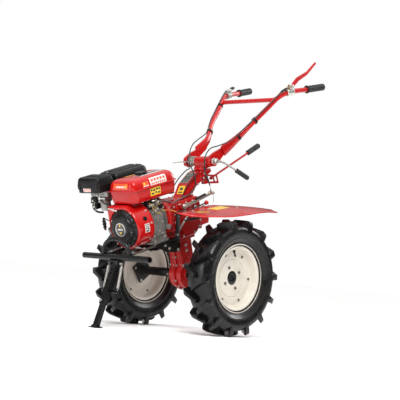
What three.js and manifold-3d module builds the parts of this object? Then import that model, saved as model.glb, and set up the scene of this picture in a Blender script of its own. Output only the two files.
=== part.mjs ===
// Two-wheel petrol walking tiller: engine in front, gearbox over the axle, handlebars behind.
// Millimetres, +X forward, +Y to the machine's left, +Z up. The machine is drawn level about its
// axle, then leaned forward until the two tyres and the foot of the front stand meet the ground.
import * as THREE from 'three';
import { mergeVertices } from 'three/addons/utils/BufferGeometryUtils.js';
import Module from 'manifold-3d';

// ---- driving dimensions -------------------------------------------------------------------
const LEAN = THREE.MathUtils.degToRad(19.18); // nose-down lean on the front stand
const TYRE_R = 295; // rolling radius over the lugs of a 5.00-12 tyre
const WHEEL_Y = 329; // wheel centre plane to machine centre plane
const LUGS = 14; // lugs on each shoulder of a tyre
const CRANK_Z = 338; // crankshaft height over the axle
const GAP = 0.3; // clearance left between touching pieces
const GEAR_MODULE = 3.5;
const FINAL_TEETH = 32;
const PINION_TEETH = 12;
const BAR_Y = 235; // half width of the bumper tube
const RAIL_Y = 90; // outer face of an engine rail
const TILT_X = -240; // handlebar tilt axis
const TILT_Z = 552;
const TUBE_R = 13.5; // handlebar tube radius
const STAND_PIVOT = [457, 0, 184];
const FOOT_X = 656; // where the stand's foot meets the ground, level machine
const LUG_STEP = (2 * Math.PI) / LUGS;
// Two lug corners straddle the ground contact, so the tyre rests a little below its full radius.
const REST_R = TYRE_R * Math.cos(THREE.MathUtils.degToRad(1.95));
const STAND_FOOT = [FOOT_X, 0, (FOOT_X * Math.sin(LEAN) - REST_R) / Math.cos(LEAN)];

// ---- solids -------------------------------------------------------------------------------
const wasm = await Module();
wasm.setup();
const vec = (p) => new THREE.Vector3(p[0], p[1], p[2]);

function toSolid(geometry) {
  const bare = geometry.index ? geometry.toNonIndexed() : geometry.clone();
  bare.deleteAttribute('normal');
  bare.deleteAttribute('uv');
  const merged = mergeVertices(bare, 1e-3);
  const vertProperties = merged.attributes.position.array;
  const triVerts = new Uint32Array(merged.index.array);
  return new wasm.Manifold(new wasm.Mesh({ numProp: 3, vertProperties, triVerts }));
}

function toGeometry(solid) {
  const mesh = solid.getMesh();
  const positions = new Float32Array(mesh.numVert * 3);
  for (let i = 0; i < mesh.numVert; i++) {
    const first = i * mesh.numProp;
    positions.set(mesh.vertProperties.subarray(first, first + 3), i * 3);
  }
  const geometry = new THREE.BufferGeometry();
  geometry.setAttribute('position', new THREE.BufferAttribute(positions, 3));
  geometry.setIndex(new THREE.BufferAttribute(mesh.triVerts, 1));
  geometry.computeVertexNormals();
  return geometry;
}

const join = (...parts) => toGeometry(parts.map(toSolid).reduce((a, b) => a.add(b)));
const cut = (body, ...tools) =>
  toGeometry(tools.map(toSolid).reduce((a, b) => a.subtract(b), toSolid(body)));

// The same shape on the other side of the machine's centre plane.
function mirrored(geometry) {
  const other = geometry.index ? geometry.toNonIndexed() : geometry.clone();
  other.scale(1, -1, 1);
  const at = other.attributes.position;
  for (let i = 0; i < at.count; i += 3) {
    const [x, y, z] = [at.getX(i + 1), at.getY(i + 1), at.getZ(i + 1)];
    at.setXYZ(i + 1, at.getX(i + 2), at.getY(i + 2), at.getZ(i + 2));
    at.setXYZ(i + 2, x, y, z);
  }
  return other;
}

function block(x0, x1, y0, y1, z0, z1) {
  const box = new THREE.BoxGeometry(x1 - x0, y1 - y0, z1 - z0);
  return box.translate((x0 + x1) / 2, (y0 + y1) / 2, (z0 + z1) / 2);
}

// A block whose top face is smaller than its foot by an inset on every side.
function taperedBlock(x0, x1, y0, y1, z0, z1, inset) {
  const box = block(x0, x1, y0, y1, z0, z1);
  const at = box.attributes.position;
  for (let i = 0; i < at.count; i++) {
    if (at.getZ(i) < (z0 + z1) / 2) continue;
    at.setX(i, at.getX(i) + (at.getX(i) > (x0 + x1) / 2 ? -inset : inset));
    at.setY(i, at.getY(i) + (at.getY(i) > (y0 + y1) / 2 ? -inset : inset));
  }
  return box;
}

// A geometry built about the Y axis, turned to point along a direction and moved to its base.
function aim(geometry, base, direction) {
  const turn = new THREE.Quaternion();
  turn.setFromUnitVectors(new THREE.Vector3(0, 1, 0), vec(direction).normalize());
  return geometry.applyQuaternion(turn).translate(...base);
}

function rod(from, to, radius, sides = 12) {
  const along = vec(to).sub(vec(from));
  const length = along.length();
  const cylinder = new THREE.CylinderGeometry(radius, radius, length, sides).translate(0, length / 2, 0);
  return aim(cylinder, from, along.toArray());
}

// A turned piece from [radius, distance] points, wound so that its faces point outwards.
function turned(profile, base, direction, sides = 20) {
  const points = profile.map(([r, h]) => new THREE.Vector2(r, h));
  if (THREE.ShapeUtils.isClockWise(points)) points.reverse();
  return aim(new THREE.LatheGeometry(points, sides), base, direction);
}

function bent(points, radius, sides = 8, steps = 24, tension = 0.5) {
  const section = new THREE.Shape();
  section.absarc(0, 0, radius, 0, 2 * Math.PI);
  const path = new THREE.CatmullRomCurve3(points.map(vec), false, 'catmullrom', tension);
  return new THREE.ExtrudeGeometry(section, {
    curveSegments: sides / 2,
    steps,
    extrudePath: path,
    bevelEnabled: false,
  });
}

// A flat outline, wound counter-clockwise as the extrusions with holes need it.
function outline(points, holes = []) {
  const corners = points.map(([a, b]) => new THREE.Vector2(a, b));
  const shape = new THREE.Shape(THREE.ShapeUtils.isClockWise(corners) ? corners.reverse() : corners);
  holes.forEach((hole) => {
    shape.holes.push(new THREE.Path(hole.map(([a, b]) => new THREE.Vector2(a, b))));
  });
  return shape;
}

function slab(shape, depth, curveSegments = 12) {
  return new THREE.ExtrudeGeometry(shape, { depth, curveSegments, bevelEnabled: false });
}

// Plates cut from flat outlines: in the X-Z plane between two Y values, and so on.
function sidePlate(shape, y0, y1, curveSegments) {
  return slab(shape, y1 - y0, curveSegments).rotateX(Math.PI / 2).translate(0, y1, 0);
}

function floorPlate(shape, z0, z1, curveSegments) {
  return slab(shape, z1 - z0, curveSegments).translate(0, 0, z0);
}

function frontPlate(shape, x0, x1, curveSegments) {
  const turn = new THREE.Matrix4();
  turn.makeBasis(vec([0, 1, 0]), vec([0, 0, 1]), vec([1, 0, 0]));
  return slab(shape, x1 - x0, curveSegments).applyMatrix4(turn).translate(x0, 0, 0);
}

function circle(radius, count, u = 0, v = 0, start = 0) {
  const points = [];
  for (let i = 0; i < count; i++) {
    const a = start + (2 * Math.PI * i) / count;
    points.push([u + radius * Math.cos(a), v + radius * Math.sin(a)]);
  }
  return points;
}

function gearOutline(teeth, bore, phase) {
  const points = [];
  const pitchR = (GEAR_MODULE * teeth) / 2;
  const tip = pitchR + GEAR_MODULE * 0.9;
  const root = pitchR - GEAR_MODULE * 1.2;
  const step = (2 * Math.PI) / teeth;
  for (let i = 0; i < teeth; i++) {
    const a = phase + i * step;
    const foot = 3.1 / root;
    const crown = 1.1 / tip;
    points.push([root * Math.cos(a - foot), root * Math.sin(a - foot)]);
    points.push([tip * Math.cos(a - crown), tip * Math.sin(a - crown)]);
    points.push([tip * Math.cos(a + crown), tip * Math.sin(a + crown)]);
    points.push([root * Math.cos(a + foot), root * Math.sin(a + foot)]);
  }
  return outline(points, bore ? [circle(bore, 6)] : []);
}

// ---- materials ----------------------------------------------------------------------------
const finish = (color, roughness, metalness) => ({ color, roughness, metalness });
const RED = finish(0xc4101a, 0.35, 0.1);
const BLACK = finish(0x141414, 0.45, 0.1);
const CREAM = finish(0xded9cc, 0.45, 0.1);
const RUBBER = finish(0x17171a, 0.85, 0);
const PLASTIC = finish(0x101012, 0.5, 0);
const CAST = finish(0x8d8b86, 0.5, 0.8);
const ZINC = finish(0xb4b2aa, 0.35, 0.9);
const STEEL = finish(0x77777a, 0.35, 1);

const machine = new THREE.Group();

function add(name, geometry, look) {
  const mesh = new THREE.Mesh(geometry, new THREE.MeshStandardMaterial(look));
  mesh.name = name;
  machine.add(mesh);
  return mesh;
}

// The same piece on the left and, mirrored, on the right.
function addPair(stem, geometry, look) {
  add(stem + '_left', geometry, look);
  add(stem + '_right', geometry.clone(), look).scale.y = -1;
}

// ---- wheels -------------------------------------------------------------------------------
// Tyre: a thin carcass ring with two rows of staggered lugs that lead towards the crown.
const carcass = [
  [161.5, 42], [175.5, 44.5], [182, 53], [213, 68], [243, 70], [262, 62], [270, 40],
  [270, -40], [262, -62], [243, -70], [213, -68], [182, -53], [175.5, -44.5], [161.5, -42],
  [161.5, -32], [213, -58], [241, -60], [259, -40],
  [259, 40], [241, 60], [213, 58], [161.5, 32], [161.5, 42],
];
// A lug drawn flat as [around, across], raised to the rolling radius and wrapped on the crown.
function lugBar(corners, rootR) {
  const bar = slab(outline(corners), TYRE_R - rootR).translate(0, 0, rootR);
  const at = bar.attributes.position;
  for (let i = 0; i < at.count; i++) {
    const angle = at.getX(i) / TYRE_R;
    const r = at.getZ(i);
    at.setX(i, r * Math.sin(angle));
    at.setZ(i, r * Math.cos(angle));
  }
  return bar;
}
const downward = Math.PI - LEAN - THREE.MathUtils.degToRad(3.5);
const tyreParts = [turned(carcass, [0, 0, 0], [0, 1, 0], 24)];
for (let i = 0; i < LUGS; i++) {
  for (const side of [1, -1]) {
    const spin = downward + (i + (side > 0 ? 0 : 0.5)) * LUG_STEP;
    const bar = lugBar([[-38, 63], [-12, 63], [30, -7], [8, -7]], 261).rotateY(spin);
    tyreParts.push(side > 0 ? bar : mirrored(bar));
  }
}
addPair('tyre', join(...tyreParts).translate(0, WHEEL_Y, 0), RUBBER);

// Rim: two flanged halves meet in a flat web, with the dished disc inside it.
const rimProfile = [
  [174, 47], [168, 50], [154, 43], [146, 8], [138, 3], [100, 3], [88, -5], [36, -5],
  [36, -11], [90, -11], [102, -3], [138, -3], [146, -8], [154, -43], [168, -50],
  [174, -47], [160, -43.5], [150, -12], [150, 12], [160, 43.5], [174, 47],
];
addPair('rim', turned(rimProfile, [0, WHEEL_Y, 0], [0, 1, 0], 24), CREAM);

// Hub: a square bolting flange on a sleeve that slides over the hexagonal axle.
const hexBore = circle(15.6, 6);
const hubFlange = sidePlate(
  outline([[-52, -52], [52, -52], [52, 52], [-52, 52]], [hexBore]), 308, WHEEL_Y - 11 - GAP, 6);
const hubSleeve = sidePlate(outline(circle(23, 20), [hexBore]), 48, 309, 6);
addPair('hub', join(hubFlange, hubSleeve), BLACK);
add('axle_shaft', sidePlate(outline(circle(15, 6)), -324, 324, 6), STEEL);

// ---- final drive --------------------------------------------------------------------------
const layshaftZ = (GEAR_MODULE * (FINAL_TEETH + PINION_TEETH)) / 2;
const finalGear = sidePlate(gearOutline(FINAL_TEETH, 15.4, Math.PI / 2), -10, 10, 6);
add('final_gear', finalGear, STEEL);
const pinionPhase = -Math.PI / 2 + Math.PI / PINION_TEETH;
const pinion = sidePlate(gearOutline(PINION_TEETH, 0, pinionPhase), -11, 11, 6);
pinion.translate(0, 0, layshaftZ);
const layshaft = rod([0, -33.4, layshaftZ], [0, 33.4, layshaftZ], 9);
add('layshaft_gear', join(pinion, layshaft), STEEL);

function caseOutline(grow) {
  const r = 75 + grow;
  const neck = 48 + grow;
  const shape = new THREE.Shape();
  const start = Math.acos(neck / r);
  const top = 205 + Math.min(grow, 0);
  shape.moveTo(neck, top);
  shape.lineTo(-neck, top);
  shape.lineTo(-neck, r * Math.sin(start));
  shape.absarc(0, 0, r, Math.PI - start, 2 * Math.PI + start);
  shape.closePath();
  return shape;
}
const halfCase = cut(
  join(sidePlate(caseOutline(0), GAP, 42, 10), sidePlate(caseOutline(10), GAP, 8, 10)),
  sidePlate(caseOutline(-8), -5, 34, 10),
  rod([0, 20, 0], [0, 60, 0], 18, 20),
);
addPair('final_case', halfCase, RED);

// ---- gearbox ------------------------------------------------------------------------------
const boxOutline = outline([
  [-62, 205.6], [60, 205.6], [70, 236], [99, 250], [99, 398], [-112, 396], [-124, 300], [-96, 236],
]);
const boxCavity = outline([
  [-54, 216], [52, 216], [62, 244], [90, 258], [90, 388], [-104, 386], [-114, 302], [-88, 244],
]);
const gearboxCase = cut(
  sidePlate(boxOutline, -72, 72),
  sidePlate(boxCavity, -62, 80),
  rod([80, 0, CRANK_Z], [110, 0, CRANK_Z], 30, 24),
);
add('gearbox_case', gearboxCase, RED);
const coverOutline = outline([
  [-50, 212], [50, 212], [62, 240], [92, 254], [92, 390], [-106, 388], [-116, 302], [-90, 240],
]);
const coverBoss = rod([-20, 84, 318], [-20, 92, 318], 34, 20);
add('gearbox_cover', join(sidePlate(coverOutline, 72 + GAP, 85), coverBoss), RED);
const bell = turned(
  [[72, 0], [84, 34], [84, 48.7], [108, 48.7], [108, 38], [96, 30], [90, 8], [90, 0], [72, 0]],
  [99 + GAP, 0, CRANK_Z], [1, 0, 0], 24);
add('clutch_bell', bell, RED);

// ---- engine -------------------------------------------------------------------------------
const slant = THREE.MathUtils.degToRad(25);
const barrel = [0, -Math.cos(slant), Math.sin(slant)];
// A block built along +Y from the crank centre, swung to the slanted cylinder's line.
function onBarrel(x0, x1, s0, s1, halfWidth) {
  const made = block(x0, x1, -s1, -s0, -halfWidth, halfWidth);
  return made.rotateX(-slant).translate(0, 0, CRANK_Z);
}
const crankcase = cut(
  join(
    block(158, 262, -76, 76, 240, 420),
    block(158, 262, -85, 85, 229, 244),
    onBarrel(164, 260, 20, 76, 56),
  ),
  onBarrel(100, 300, 76, 200, 90),
  rod([170, 0, CRANK_Z], [150, 0, CRANK_Z], 62, 24),
  rod([150, 0, CRANK_Z], [250, 0, CRANK_Z], 58, 24),
  rod([240, 0, CRANK_Z], [280, 0, CRANK_Z], 16, 16),
);
add('crankcase', crankcase, CAST);
const engineCover = turned(
  [[14, 0], [84, 0], [92, 4], [92, 9], [14, 9], [14, 0]], [148.4, 0, CRANK_Z], [1, 0, 0], 24);
add('crankcase_cover', engineCover, CAST);
const fins = [];
for (let i = 0; i < 6; i++) {
  const s = 84 + i * 13;
  fins.push(onBarrel(160, 264, s, s + 4, 58));
}
add('cylinder', join(
  onBarrel(172, 252, 76 + GAP, 176, 44),
  onBarrel(170, 254, 172, 182, 43),
  onBarrel(176, 248, 180, 200, 38),
  ...fins,
), CAST);

// Crank train: flywheel fan on the crankshaft, clutch pack and the gearbox's input shaft behind.
const flywheel = turned(
  [[0, 176], [30, 176], [30, 188], [12, 188], [12, 286], [84, 286], [84, 322], [70, 322],
    [70, 296], [12, 296], [12, 344], [0, 344]].map(([r, h]) => [r, h - 176]),
  [176, 0, CRANK_Z], [1, 0, 0], 20);
add('flywheel', flywheel, CAST);
add('clutch_shaft', turned(
  [[0, 0], [20, 0], [20, 26], [26, 26], [26, 40], [40, 40], [40, 54], [20, 54], [20, 70], [48, 70],
    [48, 84], [20, 84], [20, 90], [9, 90], [9, 148], [56, 148], [56, 178], [11, 178], [11, 214],
    [0, 214]],
  [-40, 0, CRANK_Z], [1, 0, 0], 18), STEEL);

// Fan cover: a pressed steel hood with a round mouth for the recoil starter.
function hoodOutline(grow) {
  const r = 107 + grow;
  const shape = new THREE.Shape();
  shape.moveTo(-106 - grow, 300);
  shape.absarc(0, CRANK_Z, r, THREE.MathUtils.degToRad(212), THREE.MathUtils.degToRad(437));
  shape.lineTo(10, 452 + grow);
  shape.lineTo(-94, 452 + grow);
  shape.lineTo(-106 - grow, 440 + grow);
  shape.closePath();
  return shape;
}
const fanCover = cut(
  frontPlate(hoodOutline(0), 266, 372, 16),
  frontPlate(hoodOutline(-3), 260, 368.5, 16),
  rod([350, 0, CRANK_Z], [380, 0, CRANK_Z], 97, 28),
  block(250, 300, -120, -90, 330, 440),
);
add('fan_cover', fanCover, RED);
add('recoil_starter', turned(
  [[0, 42], [66, 40], [73, 34], [74, 25], [90, 21], [95.5, 14], [95.5, 0], [92, 0],
    [92, 12], [70, 18], [69, 34], [0, 34]],
  [356, 0, CRANK_Z], [1, 0, 0], 20), PLASTIC);
add('starter_grip', join(
  rod([352, -160, 378], [352, -160, 322], 11, 12),
  rod([352, -160, 368], [352, -108, 368], 4, 8),
), PLASTIC);

// Fuel tank: two pressings seamed at a flange, with a filler neck in the top.
const tank = cut(
  join(
    block(44, 354, -96, 92, 455, 518),
    block(36, 362, -102, 98, 516, 524),
    taperedBlock(44, 354, -96, 92, 520, 560, 4),
    taperedBlock(48, 350, -92, 88, 559, 576, 20),
    rod([200, 0, 560], [200, 0, 577], 26, 20),
  ),
  block(50, 348, -90, 86, 461, 519),
  taperedBlock(50, 348, -90, 86, 518, 568, 18),
  rod([200, 0, 540], [200, 0, 590], 21, 20),
);
add('fuel_tank', tank, RED);
add('fuel_cap', turned(
  [[0, 0], [30, 0], [32, 3], [32, 11], [27, 15], [0, 15]], [200, 0, 577 + GAP], [0, 0, 1], 20), BLACK);
const cleaner = join(
  taperedBlock(286, 402, -268, -106, 560, 598, 8),
  block(286, 402, -268, -106, 520, 562),
);
add('air_cleaner', cleaner, PLASTIC);
add('carburettor', join(
  block(300, 360, -176, -126, 462, 512),
  rod([330, -151, 422], [330, -151, 465], 27, 16),
  rod([330, -151, 508], [330, -151, 519.6], 30, 16),
), CAST);
add('choke_lever', join(
  rod([362, -151, 487], [367, -151, 487], 9, 12),
  block(362.5, 366.5, -156, -110, 484, 490),
), ZINC);
const guardShell = cut(
  taperedBlock(34, 272, -248, -108, 500, 598, 8),
  taperedBlock(38, 268, -244, -112, 490, 588, 7.5),
);
add('muffler_guard', guardShell, BLACK);
add('muffler', block(52, 252, -232, -124, 508, 580), STEEL);

// ---- engine frame, bumper and stand ---------------------------------------------------------
const railOutline = outline([
  [70, 226], [70, 150], [110, 150], [176, 170], [240, 212], [436, 212], [436, 226],
]);
const sideFrame = [
  sidePlate(railOutline, RAIL_Y - 24, RAIL_Y - 18),
  block(70, 436, RAIL_Y - 24, RAIL_Y + 2, 221, 227),
  rod([104, 84, 224], [104, 138, 352], 9, 10),
  rod([104, 136, 344], [-60, 196, 328], 7, 8),
];
add('engine_frame', join(
  ...sideFrame,
  ...sideFrame.map(mirrored),
  block(70, 76, -70, 70, 150, 200),
  block(80, 130, -70, 70, 212, 218),
  block(300, 340, -70, 70, 212, 218),
), BLACK);
const standCheek = outline([[438, 200], [438, 170], [476, 170], [476, 200]]);
add('bumper', cut(
  join(
    rod([452, -BAR_Y, 213], [452, BAR_Y, 213], 15, 16),
    sidePlate(standCheek, 20, 26),
    sidePlate(standCheek, -26, -20),
  ),
  rod([452, -BAR_Y - 5, 213], [452, -BAR_Y + 40, 213], 12.5, 12),
  rod([452, BAR_Y - 40, 213], [452, BAR_Y + 5, 213], 12.5, 12),
), BLACK);
const archPath = [];
for (let i = 0; i <= 12; i++) {
  const a = (Math.PI * i) / 12;
  archPath.push([444 - 2 * Math.sin(a), 92 * Math.cos(a), 230.5 + 72 * Math.sin(a)]);
}
add('guard_arch', bent(archPath, 11, 8, 24), BLACK);
const legLine = vec(STAND_FOOT).sub(vec(STAND_PIVOT));
const legLength = legLine.length();
// A square tube along the leg's line, between two distances from the pivot.
function legTube(from, to, half, wall) {
  const square = (h) => [[-h, -h], [h, -h], [h, h], [-h, h]];
  const tube = slab(outline(square(half), wall ? [square(half - wall)] : []), to - from);
  const angle = Math.atan2(legLine.x, legLine.z);
  return tube.translate(0, 0, from).rotateY(angle).translate(...STAND_PIVOT);
}
add('stand_leg', legTube(8, 214, 16, 3), BLACK);
const level = (geometry, at) => geometry.rotateY(-LEAN).translate(...at);
add('stand_foot', join(
  legTube(60, legLength - 9, 12.4, 0),
  level(block(-24, 24, -28, 28, 0, 5), STAND_FOOT),
), BLACK);

// ---- fenders ------------------------------------------------------------------------------
// A pressed sheet that falls towards the back and tilts out over the tyre.
// Each station holds x, then y and z at the inner edge, then y and z at the outer edge.
const fenderStations = [
  [217, 225, 385, 231, 384], [190, 214, 381, 290, 370], [150, 196, 375, 330, 357],
  [110, 178, 368, 365, 348], [60, 154, 360, 385, 336], [13, 132, 353, 396, 326],
  [-48, 132, 349, 398, 315], [-136, 132, 341, 396, 302], [-200, 142, 325, 388, 292],
  [-300, 160, 299, 372, 272], [-400, 179, 269, 345, 245], [-460, 205, 246, 300, 229],
  [-506, 228, 226, 236, 217],
];
const FENDER_THICK = 3;
const fenderPoints = fenderStations.flatMap(([x, yIn, zIn, yOut, zOut]) => [
  [x, yIn, zIn], [x, yOut, zOut], [x, yOut, zOut - FENDER_THICK], [x, yIn, zIn - FENDER_THICK],
]);
const fenderFaces = [[3, 2, 1, 0], [48, 49, 50, 51]];
for (let i = 0; i < 12; i++) {
  for (let k = 0; k < 4; k++) {
    const [a, b] = [4 * i + k, 4 * i + ((k + 1) % 4)];
    fenderFaces.push([b, b + 4, a + 4, a]);
  }
}
const fenderMesh = new THREE.BufferGeometry();
fenderMesh.setAttribute('position', new THREE.Float32BufferAttribute(
  fenderFaces.flatMap(([a, b, c, d]) => [a, b, c, a, c, d]).flatMap((i) => fenderPoints[i]), 3));
addPair('fender', fenderMesh, RED);

// ---- column, shift gate and hitch ------------------------------------------------------------
const columnOutline = outline([
  [-36, 398 + GAP], [-86, 462], [-172, 507.6], [-270, 507.6], [-286, 490], [-150, 436], [-107, 397.4],
]);
add('column', sidePlate(columnOutline, -33, 33), RED);
const gatePlan = outline(
  [[-262, 477], [-344, 456], [-350, 408], [-262, 426]],
  [[[-270, 466], [-270, 436], [-340, 420], [-336, 449]]]);
add('shift_gate', join(
  sidePlate(gatePlan, 11, 15),
  sidePlate(gatePlan, -15, -11),
  block(-349, -341, -14, 14, 411, 421),
  block(-269, -262, -14, 14, 427, 436),
  block(-263, -244, -15, 15, 427, 460),
), RED);
add('hitch_bracket', cut(
  join(block(-206, -124.4, -38, 38, 228, 300), block(-130, -124.4, -52, 52, 215, 330)),
  block(-220, -150, -26, 26, 240, 288),
  rod([-182, 0, 200], [-182, 0, 320], 8.6, 16),
), RED);
add('hitch_pin', join(
  rod([-182, 0, 216], [-182, 0, 312], 8, 14),
  rod([-182, 0, 300.6], [-182, 0, 306], 13, 14),
  rod([-182, 0, 308], [-214, 16, 316], 3.5, 8),
  new THREE.TorusGeometry(13, 2.6, 6, 14).translate(-225, 20, 318),
), ZINC);

// Clutch release arm on the gearbox side, and the ball-ended reverse lever below it.
add('clutch_arm', join(
  rod([30, 93 + GAP, 372], [30, 108, 372], 13, 14),
  sidePlate(outline([[34, 362], [36, 380], [-150, 396], [-196, 400], [-196, 388], [-150, 382]]), 99, 105),
), ZINC);
add('reverse_lever', join(
  rod([70, 86, 346], [70, 122, 346], 8, 12),
  rod([70, 116, 346], [-20, 116, 346], 3.6, 8),
  rod([-18, 116, 346], [-118, 116, 357], 3.6, 8),
  new THREE.SphereGeometry(12, 12, 8).translate(-122, 116, 357),
), RED);

// ---- handlebars -----------------------------------------------------------------------------
add('handle_head', cut(
  join(
    rod([-238, 0, 508], [-238, 0, 524], 36, 20),
    block(-262, -218, -18, 62, 520, 576),
  ),
  rod([TILT_X, -30, TILT_Z], [TILT_X, 80, TILT_Z], 8.5, 16),
), RED);
add('tilt_clutch', turned(
  [[8.5, 0], [27, 0], [27, 10], [22, 12], [27, 14], [27, 24], [22, 26], [27, 28], [27, 45], [8.5, 45],
    [8.5, 0]],
  [TILT_X, -63.5, TILT_Z], [0, 1, 0], 16), ZINC);

const barPath = [
  [-330, 92, 588], [-437, 104, 632], [-535, 150, 701], [-640, 178, 762], [-715, 202, 807],
  [-782, 230, 825], [-914, 247, 818], [-1034, 267, 811],
];
const flare = outline([
  [TILT_X + 34, TILT_Z - 20], [TILT_X + 30, TILT_Z + 22], [-262, 594], [-330, 604], [-400, 620],
  [-396, 592], [-330, 562], [-262, 520],
]);
const flatEnd = cut(
  sidePlate(flare, 76, 90),
  rod([TILT_X, 60, TILT_Z], [TILT_X, 110, TILT_Z], 8.5, 16),
);
addPair('handle_tube', join(bent(barPath, TUBE_R, 8, 24), flatEnd), RED);
add('handle_cross_tube', cut(
  rod([-701, -190, 798], [-701, 190, 798], 12, 14),
  bent(barPath, TUBE_R + 0.5, 8, 24),
  mirrored(bent(barPath, TUBE_R + 0.5, 8, 24)),
), RED);
const gripFrom = [-914, 247, 818];
const gripTo = [-1042, 269, 811];
const gripLine = vec(gripTo).sub(vec(gripFrom)).normalize();
const gripBore = vec(gripTo).addScaledVector(gripLine, -6).toArray();
addPair('handle_grip', cut(
  rod(gripFrom, gripTo, 19.5, 16),
  bent(barPath, TUBE_R + 0.5, 8, 24),
  rod(gripFrom, gripBore, TUBE_R + 1, 12),
), RUBBER);

add('clutch_bracket', cut(
  join(
    rod([-782, 206, 824], [-782, 256, 828], 22, 16),
    block(-812, -768, 231, 249, 838, 862),
  ),
  bent(barPath, TUBE_R + 0.5, 8, 24),
  block(-830, -750, 235, 245, 842, 880),
), ZINC);
const leverOutline = outline([
  [-790, 849], [-788, 862], [-850, 896], [-944, 914], [-1036, 956], [-1040, 944], [-944, 895],
  [-862, 874], [-812, 849],
]);
add('clutch_lever', sidePlate(leverOutline, 235.6, 244.4), RED);
add('lock_handle', join(
  rod([TILT_X, -104, TILT_Z], [TILT_X, 122, TILT_Z], 8, 16),
  rod([TILT_X, -104, TILT_Z], [TILT_X, -90.5, TILT_Z], 15, 6),
  rod([TILT_X, 91, TILT_Z], [TILT_X, 126, TILT_Z], 15, 12),
  bent([[-244, 120, 550], [-272, 128, 540], [-330, 130, 505], [-382, 130, 468]], 6, 8, 14),
  rod([-376, 130, 472], [-456, 130, 414], 13, 14),
), BLACK);
add('swivel_lever', cut(
  join(
    rod([TILT_X + 14, -69.5, TILT_Z + 2], [-108, -69.5, 571], 3.8, 8),
    rod([TILT_X, -74, TILT_Z], [TILT_X, -65, TILT_Z], 20, 16),
  ),
  rod([TILT_X, -80, TILT_Z], [TILT_X, -60, TILT_Z], 8.5, 16),
), ZINC);
add('gear_lever', join(
  rod([-300, 0, 444], [-640, 0, 517], 6, 8),
  rod([-276, 0, 444], [-306, 0, 444], 7, 10),
  rod([-636, 0, 516], [-735, 0, 537], 15, 14),
), RED);

add('throttle_clamp', cut(
  join(
    rod([-822, -235, 826], [-780, -229, 825], 21, 16),
    block(-826, -782, -240, -222, 838, 850),
  ),
  mirrored(bent(barPath, TUBE_R + 0.5, 8, 24)),
), PLASTIC);
add('throttle_lever', join(
  rod([-804, -231, 850 + GAP], [-804, -231, 856], 14, 16),
  rod([-804, -231, 855.5], [-842, -236, 857], 3.5, 8),
  rod([-836, -236, 857], [-872, -241, 858], 8, 12),
), PLASTIC);

// ---- control cables -------------------------------------------------------------------------
// Clutch cable: clipped along the left tube, over the head, and down to the release arm.
add('clutch_cable_upper', bent([
  [-752, 240, 850], [-720, 226, 838], [-660, 206, 798], [-560, 180, 742], [-470, 142, 684],
  [-400, 124, 646], [-358, 118, 634], [-295, 110, 627], [-238, 103, 626],
], 3.2, 6, 34), PLASTIC);
add('clutch_cable_lower', bent([
  [-236, 103, 626], [-205, 106, 617], [-172, 110, 596], [-153, 112, 560], [-148, 112, 523],
  [-155, 110, 492], [-170, 108, 450], [-186, 103, 402.5],
], 3.2, 6, 24), PLASTIC);
// Throttle cable: along the right tube, in front of the head, and down beside the gearbox.
add('throttle_cable_upper', bent([
  [-778, -226, 851], [-748, -218, 838], [-700, -200, 818], [-620, -178, 772], [-540, -155, 724],
  [-460, -122, 672], [-415, -112, 659], [-358, -102, 648], [-300, -88, 634], [-239, -56, 616],
], 3.2, 6, 36), PLASTIC);
add('throttle_cable_lower', bent([
  [-237, -54, 615], [-188, -20, 594], [-150, 8, 560], [-138, 36, 525], [-134, 46, 496],
  [-138, 46, 466], [-124, 46, 436], [-70, 52, 412], [20, 70, 408], [110, 96, 410], [150, 104, 428],
  [200, 104, 436],
], 3.2, 6, 34), PLASTIC);

// ---- the whole, leaned and set on its footprint's centre ---------------------------------------
machine.rotation.y = LEAN;
machine.position.z = TYRE_R;
const tiller = new THREE.Group();
tiller.name = 'tiller';
tiller.add(machine);
tiller.updateMatrixWorld(true);
const extent = new THREE.Box3().setFromObject(tiller, true);
const middle = extent.getCenter(new THREE.Vector3());
machine.position.x = -middle.x;
machine.position.y = -middle.y;
machine.position.z = TYRE_R - extent.min.z;
tiller.updateMatrixWorld(true);

export default tiller;
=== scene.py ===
from math import cos, pi, radians, sin, tau

import bmesh
import bpy
import numpy as np
from mathutils import Matrix, Vector
from mathutils.geometry import tessellate_polygon


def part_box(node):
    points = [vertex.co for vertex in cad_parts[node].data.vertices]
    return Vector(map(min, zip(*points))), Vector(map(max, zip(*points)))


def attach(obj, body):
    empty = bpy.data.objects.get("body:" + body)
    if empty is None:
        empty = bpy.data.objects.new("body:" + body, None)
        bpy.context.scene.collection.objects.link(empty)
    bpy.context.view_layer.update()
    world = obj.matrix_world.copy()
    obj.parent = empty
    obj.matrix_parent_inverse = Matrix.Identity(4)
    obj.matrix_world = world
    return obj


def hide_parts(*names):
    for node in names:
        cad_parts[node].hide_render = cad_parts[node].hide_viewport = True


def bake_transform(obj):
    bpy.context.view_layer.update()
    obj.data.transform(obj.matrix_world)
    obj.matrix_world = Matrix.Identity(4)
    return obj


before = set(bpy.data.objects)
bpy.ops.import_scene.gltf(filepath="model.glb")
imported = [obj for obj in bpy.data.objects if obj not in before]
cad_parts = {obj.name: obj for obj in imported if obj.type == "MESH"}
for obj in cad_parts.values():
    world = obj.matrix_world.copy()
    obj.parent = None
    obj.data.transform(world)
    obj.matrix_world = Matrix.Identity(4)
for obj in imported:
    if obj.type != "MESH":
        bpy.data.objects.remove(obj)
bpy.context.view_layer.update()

# ---- Studio -----------------------------------------------------------------------------------
# A matt pale floor in an even light tent, with a broad key light over the tiller's left front
# corner and a weaker one behind it. The camera stands low at that corner, rolled a few degrees.
low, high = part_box("axle_shaft")
AXLE = (low + high) / 2
UNDER_AXLE = Vector((AXLE.x, 0, 0))
EYE = UNDER_AXLE + Vector((4.2417, 3.9862, 0.3227))
LOOK_AT = UNDER_AXLE + Vector((-0.0298, 0.0401, 0.6874))
CAMERA_ROLL = radians(4.92)
LENS_MM = 99.56
FLOOR_HALF = 30


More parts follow.
